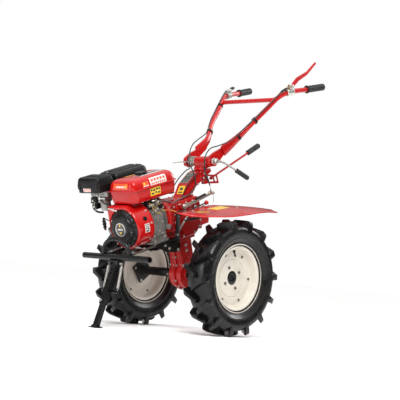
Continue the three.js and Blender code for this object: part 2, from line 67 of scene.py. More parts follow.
class Wire:
    """A shader socket. Used in a sum, it adds the Math nodes that the sum needs."""

    def __init__(self, finish, socket):
        self.finish = finish
        self.socket = socket

    def maths(self, operation, first, second):
        return self.finish.node("Math", {"operation": operation}, {0: first, 1: second})

    def __add__(self, other):
        return self.maths("ADD", self, other)

    def __sub__(self, other):
        return self.maths("SUBTRACT", self, other)

    def __rsub__(self, other):
        return self.maths("SUBTRACT", other, self)

    def __mul__(self, other):
        return self.maths("MULTIPLY", self, other)

    def __pow__(self, other):
        return self.maths("POWER", self, other)

    __radd__ = __add__
    __rmul__ = __mul__


class Finish:
    """A Principled finish: plain sockets are set here, and nodes vary the rest over the surface."""

    def __init__(self, name, plain):
        self.material = bpy.data.materials.new(name)
        self.material.use_nodes = True
        self.tree = self.material.node_tree
        self.shader = self.tree.nodes["Principled BSDF"]
        self.where = self.node("TexCoord", out="Object")
        self.show(plain)

    def feed(self, socket, value):
        if isinstance(value, Wire):
            self.tree.links.new(value.socket, socket)
        else:
            socket.default_value = value

    def node(self, kind, settings=None, inputs=None, out=0):
        made = self.tree.nodes.new("ShaderNode" + kind)
        for name, value in (settings or {}).items():
            setattr(made, name, value)
        for name, value in (inputs or {}).items():
            self.feed(made.inputs[name], value)
        return Wire(self, made.outputs[out])

    def show(self, inputs):
        for name, value in inputs.items():
            self.feed(self.shader.inputs[name], value)
        return self

    def noise(self, scale, detail=3, stretch=(1, 1, 1)):
        place = self.node("VectorMath", {"operation": "MULTIPLY"}, {0: self.where, 1: stretch})
        return self.node("TexNoise", {}, {"Vector": place, "Scale": scale, "Detail": detail})

    def ramp(self, value, start, end):
        """Runs from 0 to 1 while the value goes from start to end."""
        return self.node("MapRange", {}, {"Value": value, "From Min": start, "From Max": end})

    def blend(self, share, first, second):
        """The first colour where share is 0, the second where it is 1."""
        return self.node("Mix", {"data_type": "RGBA"}, {0: share, 6: first, 7: second}, out=2)

    def relief(self, height, depth, strength=1.0):
        """Sets the surface's fine relief, with its depth in metres."""
        bump = self.node("Bump", {}, {"Height": height, "Distance": depth, "Strength": strength})
        return self.show({"Normal": bump})


floor_paint = Finish("floor_paint", {
    "Specular IOR Level": 0.0, "Emission Color": (1, 1, 1, 1), "Emission Strength": 0.06})
floor_tone = floor_paint.ramp(floor_paint.noise(1.5), 0.35, 0.65)
floor_paint.show({
    "Base Color": floor_paint.blend(floor_tone, (0.955, 0.955, 0.95, 1), (0.97, 0.97, 0.965, 1)),
    "Roughness": 0.85 + 0.1 * floor_tone,
})
floor_mesh = bpy.data.meshes.new("floor")
floor_mesh.from_pydata(
    [(x * FLOOR_HALF, y * FLOOR_HALF, 0) for x, y in ((-1, -1), (1, -1), (1, 1), (-1, 1))],
    [], [(0, 1, 2, 3)])
floor_mesh.materials.append(floor_paint.material)
floor = bpy.data.objects.new("floor", floor_mesh)
bpy.context.scene.collection.objects.link(floor)


class Tent(Finish):
    """The studio tent: white behind the tiller, brighter overhead than at the horizon."""

    def __init__(self, world):
        world.use_nodes = True
        self.tree = world.node_tree
        self.shader = self.tree.nodes["Background"]
        self.where = self.node("TexCoord", out="Generated")


world = bpy.data.worlds.new("tent")
tent = Tent(world)
height = tent.node("SeparateXYZ", {}, {0: tent.where}, out="Z")
glow = 0.06 + 1.5 * tent.ramp(height, 0.04, 0.95) ** 1.5
seen = tent.node("LightPath", out="Is Camera Ray")
tent.show({"Color": (1, 1, 1, 1), "Strength": glow + seen * (1 - glow)})
bpy.context.scene.world = world
bpy.context.scene.view_settings.view_transform = "Standard"


def panel_light(name, at, aim, size, watts):
    lamp = bpy.data.lights.new(name, "AREA")
    lamp.size = size
    lamp.energy = watts
    lit = bpy.data.objects.new(name, lamp)
    lit.location = at
    lit.rotation_euler = (Vector(aim) - Vector(at)).to_track_quat("-Z", "Y").to_euler()
    bpy.context.scene.collection.objects.link(lit)


panel_light("key", (2.6, 2.4, 3.4), (0, 0, 0.6), 1.5, 170)
panel_light("rim_light", (-3.0, 1.0, 2.6), (0, 0, 0.7), 1.6, 60)
panel_light("front_fill", (4.5, -1.5, 1.2), (0.3, 0, 0.5), 1.6, 40)

back = (EYE - LOOK_AT).normalized()
level_right = Vector((0, 0, 1)).cross(back).normalized()
level_up = back.cross(level_right)
camera_right = level_right * cos(CAMERA_ROLL) + level_up * sin(CAMERA_ROLL)
camera_up = level_up * cos(CAMERA_ROLL) - level_right * sin(CAMERA_ROLL)
lens = bpy.data.cameras.new("camera")
lens.lens = LENS_MM
lens.sensor_width = 36
camera = bpy.data.objects.new("camera", lens)
axes = Matrix((camera_right, camera_up, back)).transposed().to_4x4()
camera.matrix_world = Matrix.Translation(EYE) @ axes
bpy.context.scene.collection.objects.link(camera)
bpy.context.scene.camera = camera

# ---- Tyres --------------------------------------------------------------------------------------
# Two 5.00-12 cross-ply traction tyres in black rubber. Each shoulder carries fourteen lugs that
# lead towards the crown, staggered side to side. Moulding hairs are left on from the tyre press.
LEAN = radians(19.18)
ON_STAND = Matrix.Translation(AXLE) @ Matrix.Rotation(LEAN, 4, "Y")
TYRE_R = 295
WHEEL_Y = 329
LUGS = 14
CASING_R = 266
FIRST_LUG = pi - LEAN - radians(3.5)


def ring_of(radius, count, turn=0.0):
    """A round outline, corner by corner."""
    return [(radius * cos(turn + tau * i / count),
             radius * sin(turn + tau * i / count)) for i in range(count)]


def arc(u, v, radius, first, last, steps):
    """Points of an arc about (u, v), between two angles in degrees."""
    angles = [radians(first + (last - first) * i / steps) for i in range(steps + 1)]
    return [(u + radius * cos(a), v + radius * sin(a)) for a in angles]


def eased(points, steps=6):
    """A smooth run through the given points."""
    knots = [Vector(p) for p in points]
    knots = [2 * knots[0] - knots[1]] + knots + [2 * knots[-1] - knots[-2]]
    run = []
    for a, b, c, d in zip(knots, knots[1:], knots[2:], knots[3:]):
        for i in range(steps):
            t = i / steps
            run.append(0.5 * (2 * b + (c - a) * t + (2 * a - 5 * b + 4 * c - d) * t ** 2
                              + (3 * b - a - 3 * c + d) * t ** 3))
    return run + [knots[-2]]


class Shape:
    """Closed shells gathered for one piece, in millimetres on the level machine."""

    def __init__(self):
        self.points = []
        self.faces = []

    def add(self, points, faces):
        first = len(self.points)
        self.points += [Vector(p) for p in points]
        self.faces += [[first + i for i in face] for face in faces]
        return self

    def loft(self, rings, looped=False):
        """A skin over equal rings, with its ends capped unless it loops."""
        n = len(rings[0])
        faces = []
        for row in range(len(rings) if looped else len(rings) - 1):
            a, b = row * n, (row + 1) % len(rings) * n
            faces += [[a + i, a + (i + 1) % n, b + (i + 1) % n, b + i] for i in range(n)]
        if not looped:
            last = (len(rings) - 1) * n
            faces += [list(range(n))[::-1], [last + i for i in range(n)]]
        return self.add([p for ring in rings for p in ring], faces)

    def turned(self, profile, base, along, sides=48):
        """A lathe-turned solid: [radius, distance] points about an axis that starts at base."""
        to_axis = Vector((0, 0, 1)).rotation_difference(Vector(along))
        rings = []
        for c, s in ring_of(1, sides):
            rings.append([to_axis @ Vector((r * c, r * s, h)) + Vector(base) for r, h in profile])
        return self.loft(rings, looped=True)

    def rod(self, start, end, radius, sides=24):
        length = (Vector(end) - Vector(start)).length
        edge = min(radius, length) * 0.12
        profile = [(0, 0), (radius - edge, 0), (radius, edge), (radius, length - edge),
                   (radius - edge, length), (0, length)]
        return self.turned(profile, start, Vector(end) - Vector(start), sides)

    def swept(self, path, section, looped=False):
        """A section carried along a path. The section is an outline, or a function of the share run."""
        path = [Vector(p) for p in path]
        ahead = path[1] - path[0]
        side = ahead.orthogonal().normalized() if abs(ahead.normalized().y) > 0.9 else Vector((0, 1, 0))
        rings = []
        for i, point in enumerate(path):
            tangent = (path[min(i + 1, len(path) - 1)] - path[max(i - 1, 0)]).normalized()
            side = (side - tangent * side.dot(tangent)).normalized()
            up = tangent.cross(side)
            corners = section(i / (len(path) - 1)) if callable(section) else section
            rings.append([point + side * u + up * v for u, v in corners])
        return self.loft(rings, looped)

    def plate(self, outline, lo, hi, across, holes=()):
        """A flat plate between two places on one axis: its outline lies in the other two."""
        loops = [list(outline)] + [list(hole) for hole in holes]
        flat = [p for loop in loops for p in loop]
        lay = {
            "x": lambda p, t: (t, *p),
            "y": lambda p, t: (p[0], t, p[1]),
            "z": lambda p, t: (*p, t),
        }[across]
        n = len(flat)
        faces = []
        if holes:
            tris = tessellate_polygon([[Vector((*p, 0)) for p in loop] for loop in loops])
            faces += [list(t) for t in tris] + [[n + i for i in reversed(t)] for t in tris]
        else:
            faces += [list(range(n)), [n + i for i in range(n)][::-1]]
        first = 0
        for loop in loops:
            for i in range(len(loop)):
                a, b = first + i, first + (i + 1) % len(loop)
                faces.append([a, b, n + b, n + a])
            first += len(loop)
        return self.add([lay(p, lo) for p in flat] + [lay(p, hi) for p in flat], faces)

    def block(self, x0, x1, y0, y1, z0, z1, inset=0):
        """A block whose top is smaller than its foot by the inset on every side."""
        foot = [(x0, y0, z0), (x1, y0, z0), (x1, y1, z0), (x0, y1, z0)]
        top = [(x0 + inset, y0 + inset, z1), (x1 - inset, y0 + inset, z1),
               (x1 - inset, y1 - inset, z1), (x0 + inset, y1 - inset, z1)]
        return self.loft([foot, top])

    def bolt(self, at, along, size=6):
        """A hexagon head on a washer, named by its thread, standing on a surface."""
        head = [(0, 0.24 * size), (0.85 * size, 0.24 * size), (0.92 * size, 0.35 * size),
                (0.92 * size, 0.8 * size), (0.8 * size, 0.92 * size), (0, 0.95 * size)]
        washer = [(0, -0.5), (1.15 * size, -0.5), (1.2 * size, 0.1 * size), (1.1 * size, 0.25 * size),
                  (0, 0.25 * size)]
        return self.turned(washer, at, along, 20).turned(head, at, along, 6)

    def both(self):
        """Adds the mirror image on the other side of the machine."""
        return self.add([(p.x, -p.y, p.z) for p in self.points], [face[::-1] for face in self.faces])

    def mirrored(self):
        """The same shape for the other side of the machine."""
        other = Shape()
        other.points = [Vector((p.x, -p.y, p.z)) for p in self.points]
        other.faces = [face[::-1] for face in self.faces]
        return other

    def moved(self, change):
        self.points = [change @ p for p in self.points]
        return self

    def piece(self, name, finish, body, slot, replaces=(), round_edge=0.0, steps=2, sharp=35):
        """The finished piece on its body, with its edges rounded by a radius in millimetres."""
        work = bmesh.new()
        corners = [work.verts.new(ON_STAND @ (p / 1000)) for p in self.points]
        for face in self.faces:
            work.faces.new([corners[i] for i in face])
        bmesh.ops.remove_doubles(work, verts=work.verts, dist=2e-5)
        bmesh.ops.recalc_face_normals(work, faces=work.faces)
        mesh = bpy.data.meshes.new(name)
        work.to_mesh(mesh)
        work.free()
        mesh.materials.append(finish.material)
        mesh.shade_smooth()
        mesh.set_sharp_from_angle(angle=radians(sharp))
        made = bpy.data.objects.new(name, mesh)
        bpy.context.scene.collection.objects.link(made)
        if round_edge:
            rounding = made.modifiers.new("rounded_edges", "BEVEL")
            rounding.width = round_edge / 1000
            rounding.segments = steps
            rounding.limit_method = "ANGLE"
            rounding.angle_limit = radians(sharp)
            rounding.harden_normals = True
        if body:
            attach(made, body)
        if replaces:
            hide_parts(*replaces)
        return made


rubber = Finish("tyre_rubber", {"Specular IOR Level": 0.3})
scuff = rubber.ramp(rubber.noise(9, 6), 0.42, 0.72)
grain = rubber.noise(420, 4)
rubber.show({
    "Base Color": rubber.blend(scuff, (0.003, 0.003, 0.0036, 1), (0.009, 0.008, 0.007, 1)),
    "Roughness": 0.16 + 0.2 * scuff + 0.06 * grain,
}).relief(grain + 2.5 * rubber.noise(60), 0.0005, 0.5)

casing_profile = (
    [(161, 42), (163, 46), (175, 48.5), (179, 50), (181, 53), (184, 52.5), (188, 55.5)]
    + [(200, 62.5), (203, 65.2), (206, 65.4), (208, 64.4)]
    + [(218, 67.2), (232, 69.2), (244, 68.6), (252, 65.5), (259, 59), (264, 49), (CASING_R + 1, 36),
       (CASING_R + 3, 18), (CASING_R + 3.5, 0)])
casing_profile += [(r, -y) for r, y in casing_profile[-2::-1]]
casing_profile += [(161, -34), (200, -50), (200, 50), (161, 34)]


def lug(spin, side):
    """One lug: stations run down the tread from the foot of the shoulder to the end at the crown."""
    stations = [  # across, around, top radius, half width at the top
        (70.3, -26, 245, 12.5), (70.2, -26, 251, 14), (68.5, -26, 272, 14.5), (66, -25.6, 284, 14),
        (62.5, -25, 291.5, 13), (56, -22.5, 294.2, 12.4), (40, -12.5, TYRE_R, 11.4), (18, 3, TYRE_R, 10.6),
        (0, 15.5, TYRE_R, 10.4), (-6.5, 19, 293.6, 9.6), (-9.5, 20.5, 289, 9)]
    rings = []
    for across, around, top, half in stations:
        root = min(CASING_R - 6, top - 6) if across < 66 else 236
        ring = []
        for reach, r in ((-half - 6, root), (-half, top), (half, top), (half + 6, root)):
            turn = spin + (around + reach) / TYRE_R
            ring.append((r * sin(turn), side * across, r * cos(turn)))
        rings.append(ring)
    return rings


def tyre():
    made = Shape().turned(casing_profile, (0, 0, 0), (0, 1, 0), 112)
    for i in range(LUGS):
        for side, stagger in ((1, 0.0), (-1, 0.5)):
            made.loft(lug(FIRST_LUG + (i + stagger) * tau / LUGS, side))
    return made.moved(Matrix.Translation((0, WHEEL_Y, 0)))


def moulding_hairs():
    """Thin rubber whiskers left by the mould's vents, round the bead and along the shoulders."""
    made = Shape()
    dice = np.random.default_rng(7)
    for radius, out, count in ((182, 52.5, 26), (229, 69, 20), (270, 20, 18)):
        for side in (1, -1):
            for turn in dice.uniform(0, tau, count):
                foot = Vector((radius * sin(turn), side * out, radius * cos(turn)))
                lift = Vector((sin(turn), 0, cos(turn)))
                if out > 30:
                    lift = Vector((0.35 * sin(turn), side, 0.35 * cos(turn)))
                sway = Vector(dice.normal(0, 0.35, 3))
                length = dice.uniform(4, 9)
                path = [foot, foot + lift * length * 0.5, foot + (lift + sway) * length]
                made.swept(path, lambda share: ring_of(0.7 - 0.4 * share, 5))
    return made.moved(Matrix.Translation((0, WHEEL_Y, 0)))


for end, turn_over in (("left", False), ("right", True)):
    casing = tyre().mirrored() if turn_over else tyre()
    casing.piece("tyre_body_" + end, rubber, "wheels", "tyre_rubber", ["tyre_" + end], round_edge=2.2,
                 sharp=40)
    hairs = moulding_hairs().mirrored() if turn_over else moulding_hairs()
    hairs.piece("tyre_hairs_" + end, rubber, "wheels", "tyre_rubber")

# ---- Rims ---------------------------------------------------------------------------------------
# Each rim is two pressed steel halves bolted back to back round a dished disc, in cream enamel.
# Six bolts hold the halves together and four more hold the disc to the hub. The tube's valve
# stands in a slot of the outer flange.
RIM_BOLT_R = 126
HUB_BOLT_R = 58
HUB_TURN = {"left": 78, "right": 26}  # where the first hub bolt stands, in degrees

cream = Finish("cream_enamel", {"Coat Weight": 0.25, "Coat Roughness": 0.25})
soot = cream.ramp(cream.noise(14, 6), 0.55, 0.8)
drip = cream.noise(30, 4)
cream.show({
    "Base Color": cream.blend(soot * 0.5, (0.60, 0.55, 0.475, 1), (0.42, 0.36, 0.29, 1)),
    "Roughness": 0.36 + 0.2 * drip,
}).relief(cream.noise(240, 2), 0.0003, 0.25)
zinc = Finish("bright_zinc", {"Metallic": 1.0})
haze = zinc.noise(140, 5)
zinc.show({
    "Base Color": zinc.blend(zinc.ramp(haze, 0.3, 0.7), (0.42, 0.41, 0.38, 1), (0.72, 0.70, 0.65, 1)),
    "Roughness": 0.24 + 0.25 * haze,
}).relief(haze, 0.0002, 0.3)

worn_steel = Finish("worn_bolt_steel", {"Metallic": 1.0})
grime = worn_steel.ramp(worn_steel.noise(110, 5), 0.3, 0.7)
worn_steel.show({
    "Base Color": worn_steel.blend(grime, (0.26, 0.25, 0.23, 1), (0.12, 0.11, 0.10, 1)),
    "Roughness": 0.34 + 0.25 * grime,
}).relief(grime, 0.0002, 0.3)

outer_half = (
    [(36, 4), (88, 4)] + arc(92, 0, 4, 100, 40, 3) + arc(103, -1, 5, 160, 90, 3) + [(134, 4)]
    + arc(134, 12, 8, -90, -10, 5) + [(149, 36), (152.5, 41)] + arc(158, 36.5, 6.5, 130, 80, 3)
    + [(167, 45.5)] + arc(168, 48.5, 3, -80, 60, 4) + [(169.5, 52.8), (174, 51), (174.5, 46.5)])
inner_side = [(r, h) for r, h in (
    (172, 43.5), (163, 40.5), (157, 38.5), (153, 33), (146, 6), (141, 1), (36, 1))]


def rim_half():
    return Shape().turned(outer_half + inner_side, (0, WHEEL_Y, 0), (0, 1, 0), 96)


def rim_fittings(hub_turn):
    """Bolts, nuts and the valve of one wheel."""
    made = Shape()
    for i in range(6):
        turn = radians(19 + 60 * i)
        x, z = RIM_BOLT_R * cos(turn), RIM_BOLT_R * sin(turn)
        made.bolt((x, WHEEL_Y + 4, z), (0, 1, 0), 6).bolt((x, WHEEL_Y - 4, z), (0, -1, 0), 6)
    for i in range(4):
        turn = radians(hub_turn + 90 * i)
        x, z = HUB_BOLT_R * cos(turn), HUB_BOLT_R * sin(turn)
        made.bolt((x, WHEEL_Y + 4, z), (0, 1, 0), 7)
    return made


for end, hub_turn in HUB_TURN.items():
    half = rim_half()
    inner = Shape().add([(p.x, 2 * WHEEL_Y - p.y, p.z) for p in half.points], [f[::-1] for f in half.faces])
    shell = half.add(inner.points, inner.faces)
    fittings = rim_fittings(hub_turn)
    stem = radians(101)
    foot = Vector((140 * cos(stem), WHEEL_Y + 18, 140 * sin(stem)))
    tip = foot + Vector((-30 * cos(stem) + 4, 13, -30 * sin(stem)))
    valve = Shape().rod(foot, tip, 4.5, 16).rod(foot, foot + (tip - foot) * 0.35, 7, 16)
    valve.rod(tip - (tip - foot) * 0.28, tip, 5.2, 12)
    if end == "right":
        shell, fittings, valve = shell.mirrored(), fittings.mirrored(), valve.mirrored()
    shell.piece("rim_shell_" + end, cream, "wheels", "cream_paint", ["rim_" + end], sharp=50)
    fittings.piece("rim_bolts_" + end, worn_steel, "wheels", "zinc", round_edge=0.4)
    valve.piece("tube_valve_" + end, rubber, "wheels", "tyre_rubber")

# ---- Hubs and axle ------------------------------------------------------------------------------
# A square steel flange is welded to a sleeve that slides on the hexagonal axle, where a clevis pin
# holds it. The weldments are stove black; the axle is stove black too, which also paints the shade in its
# recessed ends.
FLANGE_HALF = 52
SLEEVE_R = 23

black = Finish("stove_black", {"Specular IOR Level": 0.28})
black_dust = black.ramp(black.noise(11, 6), 0.45, 0.8)
black.show({
    "Base Color": black.blend(black_dust * 0.6, (0.004, 0.004, 0.0045, 1), (0.018, 0.016, 0.014, 1)),
    "Roughness": 0.26 + 0.3 * black_dust,
}).relief(black.noise(520, 2), 0.0002, 0.35)
steel = Finish("ground_steel", {"Metallic": 1.0})
turning = steel.noise(90, 5, stretch=(1, 9, 1))
steel.show({
    "Base Color": steel.blend(turning, (0.24, 0.235, 0.225, 1), (0.44, 0.43, 0.41, 1)),
    "Roughness": 0.26 + 0.2 * turning,
}).relief(turning, 0.0002, 0.3)


def rounded(corners, radius, steps=4):
    """An outline with each corner turned into an arc of at most that radius."""
    made = []
    n = len(corners)
    for i in range(n):
        here = Vector(corners[i])
        before, after = Vector(corners[i - 1]) - here, Vector(corners[(i + 1) % n]) - here
        reach = min(radius, before.length * 0.45, after.length * 0.45)
        a, b = here + before.normalized() * reach, here + after.normalized() * reach
        for k in range(steps + 1):
            t = k / steps
            made.append(tuple(a * (1 - t) ** 2 + 2 * here * t * (1 - t) + b * t ** 2))
    return made


def hub():
    square = [(-FLANGE_HALF, -FLANGE_HALF), (FLANGE_HALF, -FLANGE_HALF),
              (FLANGE_HALF, FLANGE_HALF), (-FLANGE_HALF, FLANGE_HALF)]
    made = Shape().plate(rounded(square, 9), 309, WHEEL_Y - 11.3, "y", holes=[ring_of(15.8, 6)])
    made.turned([(18, 48), (SLEEVE_R - 1.5, 48), (SLEEVE_R, 50), (SLEEVE_R, 296), (SLEEVE_R + 3, 304),
                 (SLEEVE_R + 7, 309.5), (18, 309.5)], (0, 0, 0), (0, 1, 0), 40)
    return made


for end, hub_turn in HUB_TURN.items():
    made, pins = hub(), Shape()
    made.moved(Matrix.Rotation(radians(45 - hub_turn), 4, "Y"))
    for i in range(4):
        turn = radians(hub_turn + 90 * i)
        x, z = HUB_BOLT_R * cos(turn), HUB_BOLT_R * sin(turn)
        pins.bolt((x * 0.98, 308.6, z * 0.98), (0, -1, 0), 6.5)
    pins.rod((-31, 96, 0), (31, 96, 0), 5, 16).rod((-35, 96, 0), (-31, 96, 0), 9, 20)
    if end == "right":
        made, pins = made.mirrored(), pins.mirrored()
    made.piece("hub_weldment_" + end, black, "wheels", "black_paint", ["hub_" + end], round_edge=1.2)
    pins.piece("hub_fixings_" + end, zinc, "wheels", "zinc", round_edge=0.4)
    cap = Shape().turned([(15.7, 324.5), (17, 321), (36, 321), (38, 325), (36.5, 329.5), (24, 331),
                          (20, 327.5), (15.7, 326.5)], (0, 0, 0), (0, 1, 0), 48)
    cap = cap.mirrored() if end == "right" else cap
    cap.piece("hub_collar_" + end, black, "wheels", "black_paint", round_edge=0.8)
# Stove black on the axle shaft is partly its paint and partly painted shade for its recessed ends.
for node in ("axle_shaft", "final_gear", "layshaft_gear", "clutch_shaft", "muffler"):
    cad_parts[node].data.materials.clear()
    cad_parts[node].data.materials.append((black if node == "axle_shaft" else steel).material)
    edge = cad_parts[node].modifiers.new("rounded_edges", "BEVEL")
    edge.width = 0.0006
    edge.segments = 2

# ---- Final drive case ---------------------------------------------------------------------------
# Two mirror-image iron castings bolted on the machine's centre plane. They carry the drive down to
# the axle. A wide neck rises from the round gear well to the gearbox. Sprayed red after assembly.
WELL_R = 75
NECK_HALF = 48
SEAM_FLANGE = 10

casting_red = Finish("red_casting", {"Coat Weight": 0.4, "Coat Roughness": 0.08, "Specular IOR Level": 0.22})
sand = casting_red.noise(170, 6)
flow = casting_red.ramp(casting_red.noise(7, 3), 0.3, 0.7)
casting_red.show({
    "Base Color": casting_red.blend(flow, (0.33, 0.003, 0.003, 1), (0.46, 0.006, 0.005, 1)),
    "Roughness": 0.27 + 0.14 * sand,
}).relief(sand + 0.3 * casting_red.noise(700, 2), 0.0009, 0.3)


def case_outline(grow, top):
    radius, neck = WELL_R + grow, NECK_HALF + grow
    turn = 90 - np.degrees(np.arcsin(neck / radius))
    bowl = arc(0, 0, radius, 180 - turn, 360 + turn, 40)
    return [(neck, top), (-neck, top)] + bowl


case = Shape().plate(case_outline(0, 204), 0.5, 42, "y").both()
case.piece("final_case_body", casting_red, "chassis", "cast_red", ["final_case_left", "final_case_right"],
           round_edge=5, steps=3)
seam = Shape().plate(case_outline(SEAM_FLANGE, 204), 0.4, 8, "y").both()
seam.plate(rounded([(-64, 188), (64, 188), (64, 204), (-64, 204)], 6), -56, 56, "y")
seam.piece("final_case_seam", casting_red, "chassis", "cast_red", round_edge=1.6, sharp=25)
ribs = Shape()
for y in (17, 30):
    ribs.block(NECK_HALF - 4, NECK_HALF + 4, y, y + 4.5, 66, 190)
    ribs.block(-NECK_HALF - 4, -NECK_HALF + 4, y, y + 4.5, 66, 190)
ribs.turned([(18, 40), (46, 40), (44, 46), (40, 47.6), (18, 47.6)], (0, 0, 0), (0, 1, 0), 64)
ribs.turned([(0, 40), (19, 40), (17, 46), (0, 46)], (0, 0, 78), (0, 1, 0), 40)
for i in range(5):
    turn = radians(200 + 35 * i)
    x, z = cos(turn), sin(turn)
    path = [(48 * x, 42, 48 * z), (72 * x, 40, 72 * z)]
    ribs.swept(path, [(-3, -3), (3, -3), (2, 4), (-2, 4)])
ribs.both().piece("final_case_ribs", casting_red, "chassis", "cast_red", round_edge=1.8)
studs = Shape()
for i in range(7):
    turn = radians(-78 + 26 * i - 90 * (i > 6))
    x, z = (WELL_R + 3.5) * sin(turn), -(WELL_R + 3.5) * cos(turn)
    studs.bolt((x, 8, z), (0, 1, 0), 5.5)
for z in (60, 104, 148, 186):
    for x in (NECK_HALF + 4.5, -NECK_HALF - 4.5):
        studs.bolt((x, 8, z), (0, 1, 0), 5.5)
for i in range(6):
    turn = radians(30 + 60 * i)
    studs.bolt((31 * cos(turn), 47.4, 31 * sin(turn)), (0, 1, 0), 4)
for x, z in ((41, 57), (0, 194), (0, 159), (0, 129)):
    studs.bolt((x, 42, z), (0, 1, 0), 7)
studs.both().bolt((WELL_R - 4, 0, -2), (1, 0, 0), 9)
studs.piece("final_case_bolts", zinc, "chassis", "zinc", round_edge=0.4)
seals = Shape().turned([(24, 47), (37, 47), (36, 50), (25, 49)], (0, 0, 0), (0, 1, 0), 48).both()
seals.piece("axle_seals", rubber, "chassis", "tyre_rubber", round_edge=0.5)

# ---- Gearbox ------------------------------------------------------------------------------------
# One deep iron casting with a bolted cover on its left, a ribbed lid boss and a filler plug. The
# engine's clutch bell bolts to its front. All of it is painted red in one go.
BOX_HALF = 72
box_outline = [(-62, 205.6), (60, 205.6), (70, 236), (99, 250), (99, 398), (-112, 396), (-124, 300),
               (-96, 236)]
cover_outline = [(-50, 212), (50, 212), (62, 240), (92, 254), (92, 390), (-106, 388), (-116, 302), (-90, 240)]

box = Shape().plate(rounded(box_outline, 12), -BOX_HALF, BOX_HALF, "y")
box.piece("gearbox_body", casting_red, "chassis", "cast_red", ["gearbox_case"], round_edge=6, steps=3,
          sharp=25)
web = Shape()
web.plate(rounded([(-30, 394), (95, 394), (95, 405), (-30, 405)], 3), -58, 58, "y")
web.plate(rounded([(30, 396), (88, 396), (84, 410), (34, 410)], 4), -40, 40, "y")
for x in (-96, -58, 22, 60):
    web.block(x, x + 7, -BOX_HALF - 5, -BOX_HALF + 2, 252, 384)
for z in (262, 372):
    web.block(-104, 92, -BOX_HALF - 5, -BOX_HALF + 2, z, z + 7)
web.rod((-20, -BOX_HALF + 2, 318), (-20, -BOX_HALF - 10, 318), 34, 48)
web.piece("gearbox_webs", casting_red, "chassis", "cast_red", round_edge=1.8)
cover = Shape().plate(rounded(cover_outline, 12), BOX_HALF + 0.3, 80, "y")
inset = [(x * 0.84 - 1, 305 + (z - 305) * 0.82) for x, z in cover_outline]
cover.plate(rounded(inset, 14), 79.5, 85, "y")
cover.rod((-20, 84, 318), (-20, 92, 318), 34, 56).rod((-20, 91, 318), (-20, 95, 318), 20, 40)
cover.rod((30, 84, 372), (30, 93, 372), 19, 40).rod((70, 84, 346), (70, 90, 346), 14, 32)
for x0, z0, x1, z1 in ((-20, 318, -88, 262), (-20, 318, 60, 268), (-20, 318, -94, 360), (-20, 318, 30, 372)):
    cover.swept([(x0, 84, z0), (x1, 84, z1)], [(-4, -3), (3, -3), (3, 3), (-4, 3)])
cover.piece("gearbox_side_cover", casting_red, "chassis", "cast_red", ["gearbox_cover"], round_edge=2,
            steps=3, sharp=25)
studs = Shape()
for x, z in ((-44, 219), (42, 219), (80, 262), (84, 300), (84, 340), (84, 380), (40, 383), (-10, 382),
             (-60, 381), (-98, 378), (-104, 340), (-107, 302), (-96, 270), (-84, 240)):
    studs.bolt((x, 79.6, z), (0, 1, 0), 5.5)
for x, y in ((40, 32), (40, -32), (80, 32), (80, -32)):
    studs.bolt((x, y, 409.5), (0, 0, 1), 5)
for x in (-20, 8, 86):
    studs.bolt((x, 50, 404.5), (0, 0, 1), 5).bolt((x, -50, 404.5), (0, 0, 1), 5)
studs.bolt((-60, 92, 348), (0, 1, 0), 9)
studs.piece("gearbox_bolts", zinc, "chassis", "zinc", round_edge=0.4)
bell = Shape().turned([(72, 0), (88, 0), (91, 3), (96, 28), (104, 36), (108, 39), (108, 46.5), (106, 48.5),
                       (80, 48.5), (80, 34), (72, 6)], (99.3, 0, 338), (1, 0, 0), 80)
for i in range(8):
    turn = radians(22.5 + 45 * i)
    y, z = cos(turn), sin(turn)
    bell.swept([(101, 89 * y, 338 + 89 * z), (138, 103 * y, 338 + 103 * z)],
               [(-3, -3), (3, -3), (3, 5), (-3, 5)])
bell.piece("clutch_bell_body", casting_red, "chassis", "cast_red", ["clutch_bell"], round_edge=1.6)
studs = Shape()
for i in range(8):
    turn = radians(45 * i)
    studs.bolt((138.5, 101 * cos(turn), 338 + 101 * sin(turn)), (-1, 0, 0), 5.5)
studs.turned([(0, 0), (13, 0), (14, 3), (14, 16), (11, 20), (0, 20)], (155, 88, 298), (0.2, 1, 0.1), 6)
studs.piece("bell_bolts", zinc, "chassis", "zinc", round_edge=0.5)

# ---- Engine block -------------------------------------------------------------------------------
# A die-cast aluminium crankcase on a footed base, with its barrel laid back to the right at 25
# degrees. Head, fins and valve cover follow the barrel's line. The castings are left bare.
CRANK_Z = 338
BARREL_SLANT = radians(25)

alloy = Finish("bare_die_casting", {"Metallic": 0.75})
skin = alloy.noise(210, 6)
stain = alloy.ramp(alloy.noise(16, 5), 0.4, 0.75)
alloy.show({
    "Base Color": alloy.blend(stain, (0.33, 0.32, 0.30, 1), (0.14, 0.13, 0.115, 1)),
    "Roughness": 0.38 + 0.25 * skin,
}).relief(skin, 0.0007, 0.5)

on_barrel = Matrix.Translation((0, 0, CRANK_Z)) @ Matrix.Rotation(-BARREL_SLANT, 4, "X")
body = Shape().plate(rounded([(-73, 243), (73, 243), (76, 262), (76, 404), (62, 419), (-40, 419), (-76, 396),
                              (-76, 262)], 10), 160, 262, "x")
body.piece("crankcase_body", alloy, "chassis", "cast_alloy", ["crankcase"], round_edge=4, steps=3, sharp=25)
trim = Shape()
trim.plate(rounded([(158, 229), (262, 229), (262, 243), (158, 243)], 3), -85, 85, "y")
trim.plate(rounded([(176, 262), (246, 262), (250, 330), (240, 396), (182, 396), (172, 330)], 10), 75, 79.5,
           "y")
trim.rod((208, 78, 352), (208, 82.5, 352), 21, 40)
trim.plate(rounded([(190, 268), (232, 268), (232, 296), (190, 296)], 6), 79, 84, "y")
for x in (163, 252):
    trim.block(x, x + 6, 60, 80, 243, 404)
trim.block(168, 258, 60, 79, 244, 250).block(176, 250, 40, 74, 416, 426)
trim.piece("crankcase_trim", alloy, "chassis", "cast_alloy", round_edge=1.8)
